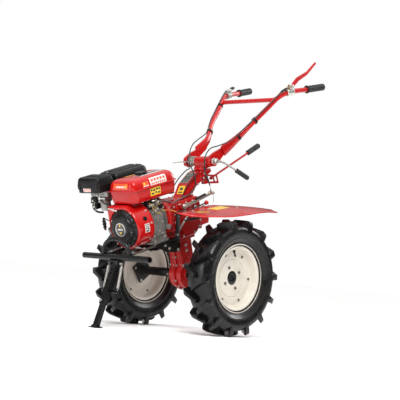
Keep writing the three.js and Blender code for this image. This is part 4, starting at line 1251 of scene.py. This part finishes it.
leg = punched_tube(8, 214, 16, 3, 5.5, 36).block(15, 22, -52, 52, 134, 146)
leg.rod((-19, 0, 200), (-15, 0, 200), 9, 6)
leg.moved(along_leg).piece("stand_outer_tube", black, "stand", "black_paint", ["stand_leg"], round_edge=0.7)
foot = punched_tube(60, leg_length - 9, 12.4, 2.6, 4.8, 230)
foot.block(-9, 9, -9, 9, leg_length - 30, leg_length - 9)
foot.moved(along_leg)
on_ground = Matrix.Translation(STAND_FOOT) @ Matrix.Rotation(-LEAN, 4, "Y")
foot_plate = Shape().plate(rounded([(-24, -28), (24, -28), (24, 28), (-24, 28)], 5), 0, 5, "z").block(
    -17, 17, -17, 17, 4, 15, 3).moved(on_ground)
foot.add(foot_plate.points, foot_plate.faces)
foot.piece("stand_inner_tube", black, "stand_slide", "black_paint", ["stand_foot"], round_edge=0.6)
pin = Shape().rod((-24, 0, 200), (20, 0, 200), 4.4, 14).rod((-28, 0, 200), (-24, 0, 200), 8, 20)
pin.moved(along_leg).piece("stand_height_pin", zinc, "stand", "zinc", round_edge=0.4)
for y in (-48, 48):
    top, low = Vector((461, y * 0.96, 186)), along_leg @ Vector((19, y, 140))
    line = low - top
    side = Vector((0, 1, 0))
    across = line.cross(side).normalized()
    path = []
    for i in range(26 * 10 + 1):
        share = i / 260
        turn = tau * i / 10
        path.append(top + line * (0.10 + 0.78 * share) + (side * cos(turn) + across * sin(turn)) * 6.2)
    path = [top + across * 8, top, top + line * 0.06] + path + [top + line * 0.93, low, low - across * 8]
    coil = Shape().swept(path, ring_of(1.5, 6))
    made = coil.piece("stand_spring_" + ("left" if y > 0 else "right"), zinc, None, "zinc")
    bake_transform(made)

# ---- Fenders ------------------------------------------------------------------------------------
# One pressed sheet over each wheel, with turned-down edges, falling away to the outside. Gloss
# red with printed yellow films on the left one. A dark red-brown wedge on each rear tip paints the shade on
# the folded rear flap.
# Each row is a station's x, then its inner edge's y and z, then its outer edge's.
fender_stations = [(217, 225, 385, 231, 384), (190, 214, 381, 290, 370), (150, 196, 375, 330, 357),
                   (110, 178, 368, 365, 348), (60, 154, 360, 385, 336), (13, 134, 353, 396, 326),
                   (-48, 132, 349, 398, 315), (-136, 133, 341, 396, 302), (-200, 142, 325, 388, 292),
                   (-300, 160, 299, 372, 272), (-400, 179, 269, 345, 245), (-460, 205, 246, 300, 229),
                   (-506, 228, 226, 236, 217)]
fender_run = eased(fender_stations, 5)[::-1]
fender_x = [s[0] for s in fender_run]


def fender_top(x, y):
    y_in, z_in, y_out, z_out = (np.interp(x, fender_x, [s[k] for s in fender_run]) for k in (1, 2, 3, 4))
    share = (y - y_in) / (y_out - y_in)
    return (x, y, z_in + (z_out - z_in) * share + 5 * sin(pi * min(max(share, 0), 1)))


def fender_ring(x, y_in, z_in, y_out, z_out):
    top = []
    for i in range(13):
        share = i / 12
        top.append((x, y_in + (y_out - y_in) * share, z_in + (z_out - z_in) * share + 5 * sin(pi * share)))
    lip = min(5, (y_out - y_in) * 0.1)
    rim = [(x, y_out + 1.4, z_out - 1), (x, y_out + 1.4, z_out - lip), (x, y_out - 0.4, z_out - lip)]
    under = [(p[0], p[1], p[2] - 2) for p in top[::-1]]
    edge = [(x, y_in + 0.4, z_in - lip), (x, y_in - 1.4, z_in - lip), (x, y_in - 1.4, z_in - 1)]
    return top + rim + under + edge


fender = Shape().loft([fender_ring(*s) for s in fender_run])
fender.piece("fender_sheet_left", red, "chassis", "red_paint", ["fender_left"], sharp=50)
fender.mirrored().piece("fender_sheet_right", red, "chassis", "red_paint", ["fender_right"], sharp=50)
flap = Shape()
tip = [s for s in fender_run if s[0] < -440]
flap_rings = []
for x, y_in, z_in, y_out, z_out in tip:
    y_far, z_far = y_in + (y_out - y_in) * 0.62, z_in + (z_out - z_in) * 0.62
    flap_rings.append([(x, y_in, z_in + 0.6), (x, y_in, z_in + 2.4), (x, y_far, z_far + 7.2),
                       (x, y_far, z_far + 3)])
flap.loft(flap_rings)
# Dark red-brown, mottled by noise: painted shade on the red sheet's folded rear flap, not rubber.
umber = Finish("fender_fold_painted_shade", {"Specular IOR Level": 0.3})
shade_mottle = umber.ramp(umber.noise(30, 5), 0.35, 0.7)
umber.show({"Base Color": umber.blend(shade_mottle, (0.10, 0.045, 0.03, 1), (0.17, 0.085, 0.055, 1)),
            "Roughness": 0.55 + 0.2 * shade_mottle}).relief(shade_mottle, 0.0004, 0.4)
flap.both().piece("fender_flap", umber, "chassis", "red_paint")
film = Shape()
label(film, fender_top, -150, -48, 190, 250, 8, 6)
label(film, fender_top, 20, 92, 226, 268, 8, 6)
film.piece("fender_film_yellow", yellow_print, "chassis", "red_paint")
film = Shape()
label(film, fender_top, 46, 68, 238, 256, 3, 3, lift=0.6)
label(film, fender_top, 28, 38, 234, 262, 3, 3, lift=0.6)
film.piece("fender_film_marks", ink, "chassis", "red_paint")
bolts = Shape()
for x, y in ((-30, 206), (90, 214), (-200, 250)):
    bolts.bolt(fender_top(x, y), (0.2, 0.08, 1), 6)
bolts.both().piece("fender_bolts", zinc, "chassis", "zinc", round_edge=0.4)
braces = Shape().swept([(-70, 190, 326), (-96, 250, 314), (-110, 330, 304)],
                       [(-2, -10), (2, -10), (2, 10), (-2, 10)])
braces.swept([(-70, 150, 300), (-74, 190, 328), (-84, 230, 326)], [(-2, -9), (2, -9), (2, 9), (-2, 9)])
braces.swept([(40, 92, 300), (-10, 130, 300), (-74, 160, 306)], ring_of(6, 12)).both()
braces.piece("fender_braces", black, "chassis", "black_paint", round_edge=0.8)

# ---- Column, shift gate and hitch ---------------------------------------------------------------
# A welded box column rises from the gearbox to the handle head, with the gear lever's shift gate
# behind it. The drawbar hitch is bolted below. All red, with a grey shift-pattern plate on top.
column_outline = [(-30, 398.3), (-36, 404), (-86, 462), (-172, 507.6), (-270, 507.6), (-286, 490),
                  (-150, 436), (-107, 397.4)]

post = Shape().plate(rounded(column_outline, 9), -33, 33, "y")
post.piece("column_box", red, "chassis", "red_paint", ["column"], round_edge=5, steps=3, sharp=25)
foot = Shape().plate(rounded([(-112, -46), (-24, -46), (-24, 46), (-112, 46)], 8), 396.6, 404, "z")
foot.plate(rounded([(-276, -42), (-190, -42), (-190, 42), (-276, 42)], 10), 500, 507.7, "z")
foot.swept([(-60, 36, 404), (-120, 35, 440), (-190, 35, 470)], [(-3, -8), (3, -8), (3, 8), (-3, 8)])
foot.swept([(-60, -36, 404), (-120, -35, 440), (-190, -35, 470)], [(-3, -8), (3, -8), (3, 8), (-3, 8)])
foot.piece("column_flanges", red, "chassis", "red_paint", round_edge=1.5)


def sloped(start, end):
    """A flat skin: u runs up from one edge of the column to the other, v runs to the right."""
    a, b = Vector((start[0], 0, start[1])), Vector((end[0], 0, end[1]))
    way = (b - a).normalized()
    return lambda u, v: a + way * u - Vector((0, 1, 0)) * v


steep, shallow = sloped((-36, 404), (-86, 462)), sloped((-86, 462), (-172, 507.6))
film = label(Shape(), steep, 18, 66, -27, 16, 4, 4, lift=0.5)
film.piece("column_film", yellow_print, "chassis", "red_paint")
marks = label(Shape(), steep, 40, 56, -14, 4, 3, 3, lift=0.8)
label(marks, steep, 24, 32, -20, 8, 3, 2, lift=0.8)
marks.piece("column_film_marks", ink, "chassis", "red_paint")
pattern = Shape()
label(pattern, shallow, 8, 94, -27, 27, 4, 4, lift=2.2)
pattern.piece("shift_pattern_plate", alloy, "chassis", "steel")
marks = Shape()
for i in range(4):
    for v in (-20, -4, 11):
        label(marks, shallow, 15 + 19 * i, 27 + 19 * i, v, v + 10, 2, 2, lift=2.7)
marks.piece("shift_pattern_marks", ink, "chassis", "steel")
gate = Shape()
outer = rounded([(-262, 477), (-344, 456), (-350, 408), (-262, 426)], 7)
slot = rounded([(-270, 466), (-336, 449), (-340, 420), (-270, 436)], 5)
for y in (-15, 11):
    gate.plate(outer, y, y + 4, "y", holes=[slot])
gate.block(-349, -341, -14, 14, 411, 421).block(-269, -262, -14, 14, 427, 436)
gate.block(-263, -244, -15, 15, 427, 460)
gate.piece("shift_gate_plates", red, "chassis", "red_paint", ["shift_gate"], round_edge=0.9)
hitch = Shape()
for z0, z1 in ((228, 240), (288, 300)):
    hitch.plate(rounded([(-206, -38), (-124.4, -38), (-124.4, 38), (-206, 38)], 9), z0, z1, "z",
                holes=[[(-182 + x, y) for x, y in ring_of(8.6, 20)]])
for y in (-38, 26):
    hitch.block(-206, -124.4, y, y + 12, 239.6, 288.4)
hitch.plate(rounded([(-52, 215), (52, 215), (52, 330), (-52, 330)], 8), -130, -124.4, "x")
hitch.piece("hitch_block", casting_red, "chassis", "red_paint", ["hitch_bracket"], round_edge=1.6)
pin = Shape().rod((-182, 0, 216), (-182, 0, 312), 8, 28).rod((-182, 0, 305), (-182, 0, 316), 11, 28)
pin.swept([(-225 + 13 * cos(a), 20, 318 + 13 * sin(a)) for a in (tau * i / 32 for i in range(33))],
          ring_of(2, 10))
pin.swept(eased([(-182, 0, 310), (-196, 6, 320), (-208, 14, 321), (-213, 20, 318)]), ring_of(2.2, 10))
pin.piece("hitch_pin_and_ring", zinc, "pin", "zinc", ["hitch_pin"])
wire_rod = Shape().swept(eased([(-58, -34, 462), (-96, -37, 486), (-160, -38, 516), (-196, -37, 522)]),
                         ring_of(3, 12))
wire_rod.swept(eased([(-30, 36, 404), (-70, 40, 452), (-140, 40, 486), (-176, 38, 506)]), ring_of(2.6, 12))
wire_rod.piece("column_rod", black, "chassis", "black_paint")
bolts = Shape()
for y in (-40, 40):
    for x in (-100, -44):
        bolts.bolt((x, y, 404), (0, 0, 1), 7)
    for z in (226, 320):
        bolts.bolt((-130, y, z), (-1, 0, 0), 7)
bolts.bolt((-166, 33, 446), (0, 1, 0), 6).bolt((-228, 33, 488), (0, 1, 0), 6)
bolts.rod((-206, -46, 470), (-206, 46, 470), 6, 6)
bolts.piece("column_bolts", zinc, "chassis", "zinc", round_edge=0.4)

# ---- Clutch arm and reverse lever ---------------------------------------------------------------
# Both work shafts in the gearbox's left cover: a bright flat arm that the clutch cable pulls, and a
# long thin rod with a red ball that selects reverse.
flat = rounded([(34, 362), (36, 380), (-150, 396), (-196, 400), (-196, 388), (-150, 382)], 7)
arm = Shape().plate(flat, 99, 105, "y").rod((30, 93.4, 372), (30, 108, 372), 13, 36)
arm.piece("clutch_arm_bar", zinc, "release_arm", "zinc", ["clutch_arm"], round_edge=1)
extras = Shape().bolt((30, 108, 372), (0, 1, 0), 8).rod((-178, 92, 396), (-178, 122, 396), 5, 16)
extras.rod((-178, 116, 396), (-178, 126, 396), 9, 6).rod((-178, 90, 396), (-178, 97, 396), 9, 6)
extras.piece("clutch_arm_fittings", zinc, "release_arm", "zinc", round_edge=0.4)
coil = Shape()
centre = [(-52 - 78 * i / 240, 110 + 5.4 * cos(tau * i / 10), 392 + 8 * i / 240 + 5.4 * sin(tau * i / 10))
          for i in range(241)]
coil.swept(centre, ring_of(1.3, 6))
coil.piece("clutch_arm_spring", black, "release_arm", "black_paint")
rod = Shape().swept(eased([(70, 112, 346), (20, 116, 348), (-40, 116, 352), (-112, 116, 356.4)]),
                    ring_of(3.4, 14))
rod.rod((70, 86, 346), (70, 122, 346), 8, 28)
rod.piece("reverse_rod", black, "reverse", "black_paint")
half_circle = [(12 * cos(a), 12 * sin(a)) for a in (pi * (i / 14 - 0.5) for i in range(1, 14))]
ball = Shape().turned([(0, -12)] + half_circle + [(0, 12)], (-122, 116, 357), (-1, 0, 0.05), 28)
ball.piece("reverse_knob", red, "reverse", "red_paint", ["reverse_lever"])

# ---- Handle head --------------------------------------------------------------------------------
# A cast head swivels on the column and holds the handlebars' tilt axis. Ratchet rings on both clamp
# them, under a lever at the right and a cranked clamp handle at the left.
TILT = Vector((-240, 0, 552))

head = Shape().turned([(0, 0), (30, 0), (36, 2), (36, 12), (33, 16), (0, 16)], (-238, 0, 508.4), (0, 0, 1),
                      56)
head.plate(rounded([(-264, 519), (-216, 519), (-214, 560), (-226, 577), (-254, 577), (-266, 560)], 9), -18,
           62, "y", holes=[[(TILT.x + x, TILT.z + z) for x, z in ring_of(8.6, 24)]])
head.piece("head_casting", red, "head", "red_paint", ["handle_head"], round_edge=2.5, steps=3, sharp=25)
lugs = Shape().turned([(9, 0), (27, 0), (29, 4), (29, 12), (9, 12)], (TILT.x, 62, TILT.z), (0, 1, 0), 48)
lugs.piece("head_lugs", red, "head", "red_paint", round_edge=1.2)


def toothed(radius, teeth, depth):
    steps = ((radius, -0.22), (radius, 0.22), (radius - depth, 0.3), (radius - depth, 0.7))
    return [(TILT.x + r * cos(tau * (i + part) / teeth), TILT.z + r * sin(tau * (i + part) / teeth))
            for i in range(teeth) for r, part in steps]


rings = Shape()
bore = [(TILT.x + x, TILT.z + z) for x, z in ring_of(9, 20)]
for lo, hi in ((-63.5, -56), (-51, -43.5), (-38.5, -31), (-26, -18.5)):
    rings.plate(toothed(27, 26, 3.4), lo, hi, "y", holes=[bore])
rings.turned([(9, 0), (20, 0), (20, 45), (9, 45)], (TILT.x, -63.5, TILT.z), (0, 1, 0), 40)
rings.piece("tilt_clutch_rings", zinc, "head", "zinc", ["tilt_clutch"], round_edge=0.6)
cup = Shape().turned([(9, 0), (31, 0), (34, 5), (34, 14), (29, 14), (27, 8), (9, 8)],
                     (TILT.x, -84, TILT.z), (0, 1, 0), 48)
cup.piece("tilt_clutch_cup", red, "head", "red_paint", round_edge=0.8)
swivel = Shape().turned([(9, 0), (20, 0), (20, 9), (9, 9)], (TILT.x, -74, TILT.z), (0, 1, 0), 40)
swivel.swept(eased([(-224, -69.5, 554), (-190, -69.5, 560), (-150, -69.5, 566), (-108, -69.5, 571)]),
             lambda share: [(u, v * (1 - 0.45 * share)) for u, v in ring_of(4, 14)])
swivel.piece("swivel_lever_rod", zinc, "swivel_lock", "zinc", ["swivel_lever"], round_edge=0.4)

lock = Shape().rod((TILT.x, -104, TILT.z), (TILT.x, 122, TILT.z), 8, 28)
lock.turned([(0, 0), (15, 0), (15, 12), (12, 13.5), (0, 13.5)], (TILT.x, -104, TILT.z), (0, 1, 0), 6)
lock.turned([(8, 0), (15, 0), (17, 3), (17, 10), (14, 12), (14, 22), (16, 24), (16, 30), (12, 35), (8, 35)],
            (TILT.x, 91, TILT.z), (0, 1, 0), 40)
lock.piece("tilt_lock_bolt", zinc, "tilt_lock", "zinc", round_edge=0.5)
crank = Shape().swept(
    eased([(-240, 118, 552), (-256, 125, 547), (-284, 129, 535), (-330, 130, 505), (-382, 130, 468)], 8),
    lambda share: [(u * (1 + 0.12 * sin(40 * share)), v) for u, v in ring_of(5.6, 14)])
crank.piece("tilt_lock_arm", steel, "tilt_lock", "steel")


def hand_grip(start, end, radius, flange=0):
    """A moulded rubber grip with finger rings, closed at its far end."""
    start, end = Vector(start), Vector(end)
    length = (end - start).length
    profile = [(0, 0), (radius * 0.82, 0), (radius + flange, 1.5), (radius + flange, 5), (radius * 0.9, 9)]
    steps = int(length / 7)
    for i in range(steps):
        at = 10 + (length - 20) * i / steps
        profile += [(radius * 0.93, at), (radius, at + 2), (radius, at + 4), (radius * 0.93, at + 6)]
    profile += [(radius * 0.96, length - 8), (radius, length - 4), (radius * 0.85, length), (0, length + 1)]
    return Shape().turned(profile, start, end - start, 36)


grip_rubber = Finish("grip_rubber", {"Specular IOR Level": 0.4})
touch = grip_rubber.noise(300, 4)
grip_rubber.show({
    "Base Color": grip_rubber.blend(touch, (0.005, 0.005, 0.0055, 1), (0.013, 0.013, 0.013, 1)),
    "Roughness": 0.38 + 0.2 * touch,
}).relief(touch, 0.0003, 0.4)
hand_grip((-374, 130, 473.4), (-457, 130, 413.4), 13).piece(
    "tilt_lock_grip", grip_rubber, "tilt_lock", "black_paint", ["lock_handle"])

# ---- Handlebars ---------------------------------------------------------------------------------
# Two bent steel tubes, pressed flat at the foot and welded to ears that clamp on the head. A cross
# tube joins them. Gloss red, with ribbed black grips pushed on the ends and four black clips.
bar_path = [(-330, 92, 588), (-437, 104, 632), (-535, 150, 701), (-640, 178, 762), (-715, 202, 807),
            (-782, 230, 825), (-914, 247, 818), (-1034, 267, 811)]
flare = [(-206, 532), (-210, 574), (-262, 594), (-330, 604), (-400, 620), (-396, 592), (-330, 562),
         (-262, 520)]
bar_run = eased([Vector(p) for p in bar_path], 8)


def bar_section(share):
    """Round for most of its length, pressed flat and tall towards the head."""
    flat = max(0, 1 - share / 0.28)
    flat = flat * flat * (3 - 2 * flat)
    return [(u * (1 - 0.4 * flat), v * (1 + 1.2 * flat)) for u, v in ring_of(13.5, 28)]


for side in ("left", "right"):
    tube = Shape().swept(bar_run, bar_section)
    ear = Shape().plate(rounded(flare, 14), 76.3, 89.7, "y",
                        holes=[[(TILT.x + x, TILT.z + z) for x, z in ring_of(8.6, 24)]])
    grip = hand_grip((-914, 247, 818), (-1043, 269, 811), 19.5, flange=3)
    if side == "right":
        tube, ear, grip = tube.mirrored(), ear.mirrored(), grip.mirrored()
    tube.piece("handlebar_" + side, red, "handlebars", "red_paint", ["handle_tube_" + side], sharp=75)
    ear.piece("handlebar_ear_" + side, red, "handlebars", "red_paint", round_edge=3, steps=3)
    grip.piece("bar_grip_" + side, grip_rubber, "handlebars", "grip_rubber", ["handle_grip_" + side])
cross = Shape().rod((-701, -190, 798), (-701, 190, 798), 12, 32)
cross.turned([(12, 0), (15, 3), (14, 7), (12, 8)], (-701, 182, 798), (0, 1, 0), 32)
cross.turned([(12, 0), (15, 3), (14, 7), (12, 8)], (-701, -182, 798), (0, -1, 0), 32)
cross.piece("cross_tube", red, "handlebars", "red_paint", ["handle_cross_tube"])
clips, clip_screws = Shape(), Shape()
for i, side in ((9, 1), (17, 1), (12, -1), (27, -1)):
    at, ahead = bar_run[i], (bar_run[i + 1] - bar_run[i - 1]).normalized()
    at, ahead = Vector((at.x, side * at.y, at.z)), Vector((ahead.x, side * ahead.y, ahead.z))
    size = 17 if i < 18 else 14
    clips.turned([(size - 1.2, -6), (size + 1.6, -6), (size + 1.6, 6), (size - 1.2, 6)], at, ahead, 28)
    clips.rod(at + Vector((0, side * 2, size - 2)), at + Vector((0, side * 2, size + 5)), 5, 12)
    clip_screws.bolt(at + Vector((0, side * 3, size + 4)), (0, side * 0.5, 1), 4)
clips.piece("cable_clips", black_plastic, "handlebars", "black_plastic", round_edge=0.6)
clip_screws.piece("cable_clip_screws", zinc, "handlebars", "zinc", round_edge=0.3)

# ---- Clutch hand lever --------------------------------------------------------------------------
# A forked steel bracket is clamped round the left bar. The pressed red hand lever turns on its
# bolt, and a bronze adjuster takes the cable's outer sleeve.
fork = Shape().turned([(13.8, -24), (19, -24), (22, -21), (22, 21), (19, 24), (13.8, 24)], (-782, 231, 826),
                      (-0.98, 0.2, -0.03), 40)
for y in (231, 245.3):
    fork.plate(rounded([(-812, 838), (-768, 838), (-768, 860), (-776, 868), (-806, 864)], 5), y, y + 3.7, "y")
fork.block(-812, -768, 231, 249, 836, 842)
fork.piece("clutch_fork", zinc, "handlebars", "zinc", ["clutch_bracket"], round_edge=0.8)
extras = Shape().rod((-786, 227, 856), (-786, 253, 856), 4, 16).bolt((-786, 249, 856), (0, 1, 0), 5)
extras.rod((-776, 240, 849), (-748, 240, 852), 5, 16).rod((-770, 240, 849.5), (-762, 240, 850.5), 8, 6)
bronze = Finish("bronze_adjuster", {"Metallic": 1.0})
patina = bronze.ramp(bronze.noise(180, 4), 0.3, 0.7)
bronze.show({"Base Color": bronze.blend(patina, (0.45, 0.27, 0.10, 1), (0.28, 0.17, 0.08, 1)),
             "Roughness": 0.3 + 0.25 * patina}).relief(patina, 0.0002, 0.3)
extras.piece("clutch_fork_bolt", bronze, "handlebars", "steel", round_edge=0.3)
blade = [(-790, 849), (-788, 862), (-850, 896), (-944, 914), (-1036, 956), (-1040, 944), (-944, 895),
         (-862, 874), (-812, 849)]
lever = Shape().plate(rounded(blade, 12, 5), 235.7, 244.3, "y")
lever.piece("clutch_lever_blade", red, "clutch_hand_lever", "red_paint", ["clutch_lever"], round_edge=3,
            steps=3)

# ---- Throttle -----------------------------------------------------------------------------------
# A friction disc lever on a clamp round the right bar, turned by a stubby black knob.
mount = Shape().turned([(13.8, -22), (18.5, -22), (21, -19), (21, 19), (18.5, 22), (13.8, 22)],
                       (-801, -232, 825.5), (-0.98, -0.14, 0.02), 40)
mount.plate(rounded([(-826, -242), (-782, -242), (-782, -220), (-826, -220)], 6), 837.5, 849.8, "z")
mount.piece("throttle_mount", alloy, "handlebars", "cast_alloy", ["throttle_clamp"], round_edge=1)
dial = Shape().turned([(0, 0), (14, 0), (15, 1), (15, 5), (12, 6.6), (5, 7), (5, 10), (0, 10)],
                      (-804, -231, 850.2), (0, 0, 1), 40)
dial.swept(eased([(-808, -231, 853.5), (-824, -233, 854), (-842, -236, 857)]),
           [(-5, -1.6), (5, -1.6), (5, 1.6), (-5, 1.6)])
dial.piece("throttle_dial", zinc, "throttle", "zinc", round_edge=0.5)
knob = Shape().turned([(0, 0), (6, 0), (8, 3), (8.6, 12), (8.4, 28), (6.4, 36), (0, 38)], (-835, -236, 856.5),
                      (-0.98, -0.13, 0.03), 32)
knob.piece("throttle_knob", black_plastic, "throttle", "black_plastic", ["throttle_lever"])

# ---- Gear lever ---------------------------------------------------------------------------------
# A long red rod reaches back from the gearbox through the shift gate to a moulded black grip.
rod = Shape().swept(eased([(-301, 0, 444.2), (-380, 0, 461.5), (-500, 0, 487.6), (-638, 0, 517.6)]),
                    ring_of(6, 20))
rod.turned([(6, 0), (9, 1), (9, 8), (6, 10)], (-306, 0, 445.6), (-0.977, 0, 0.21), 28)
rod.piece("gear_rod", red, "gear_shift", "red_paint", ["gear_lever"])
grip = hand_grip((-636, 0, 517.2), (-736, 0, 539), 15)
grip.piece("gear_lever_grip", grip_rubber, "gear_shift", "red_paint")

# ---- Cables -------------------------------------------------------------------------------------
# Sleeved wires run from the clutch lever and the throttle down round the head to the gearbox and
# the engine. The sleeves are black vinyl, with rubber boots at the ends.
sleeve = Finish("vinyl_sleeve", {"Specular IOR Level": 0.4})
twist = sleeve.noise(260, 3)
sleeve.show({
    "Base Color": sleeve.blend(twist, (0.008, 0.008, 0.009, 1), (0.03, 0.03, 0.032, 1)),
    "Roughness": 0.35 + 0.15 * twist,
}).relief(twist, 0.0001, 0.3)
routes = {
    "clutch_cable_upper": [(-752, 240, 850), (-720, 226, 838), (-660, 206, 798), (-560, 180, 742),
                           (-470, 142, 684), (-400, 124, 646), (-358, 118, 634), (-295, 110, 627),
                           (-238, 103, 626)],
    "clutch_cable_lower": [(-236, 103, 626), (-205, 106, 617), (-172, 110, 596), (-153, 112, 560),
                           (-148, 112, 523), (-155, 110, 492), (-168, 108, 462), (-178, 106, 436)],
    "throttle_cable_upper": [(-778, -226, 851), (-748, -218, 838), (-700, -200, 818), (-620, -178, 772),
                             (-540, -155, 724), (-460, -122, 672), (-415, -112, 659), (-358, -102, 648),
                             (-300, -88, 634), (-239, -56, 616)],
    "throttle_cable_lower": [(-237, -54, 615), (-188, -20, 594), (-150, 8, 560), (-138, 36, 525),
                             (-134, 46, 496), (-138, 46, 466), (-124, 46, 436), (-70, 52, 412),
                             (20, 70, 408), (110, 96, 410), (150, 104, 428), (200, 104, 436)],
}
for name, route in routes.items():
    made = Shape().swept(eased(route, 10), ring_of(3.2, 12))
    if name == "clutch_cable_lower":
        made.swept(eased([(-155, 110, 494), (-161, 109, 478), (-168, 108, 462)], 6), ring_of(6.4, 16))
    if name == "clutch_cable_upper":
        made.swept(eased([(-752, 240, 850), (-736, 233, 845), (-718, 225, 837)], 6), ring_of(6, 16))
    made = made.piece(name + "_sleeve", sleeve, None, "black_plastic", [name])
    if name.endswith("upper"):
        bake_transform(made)
    else:
        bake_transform(made)
ends = Shape().swept([(-182, 104.5, 412), (-181, 104, 404), (-179, 103, 396)], ring_of(4, 14))
ends.piece("clutch_cable_nipple", bronze, "release_arm", "steel")
tails = Shape().swept([(-178.4, 105.8, 438), (-180, 105, 424), (-182, 104.5, 410)], ring_of(1.3, 8))
tails.swept(eased([(-178, 118, 396), (-172, 124, 370), (-166, 126, 352), (-160, 124, 344)], 6),
            ring_of(1.1, 8))
wire = tails.piece("clutch_wire", steel, None, "steel")
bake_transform(wire)
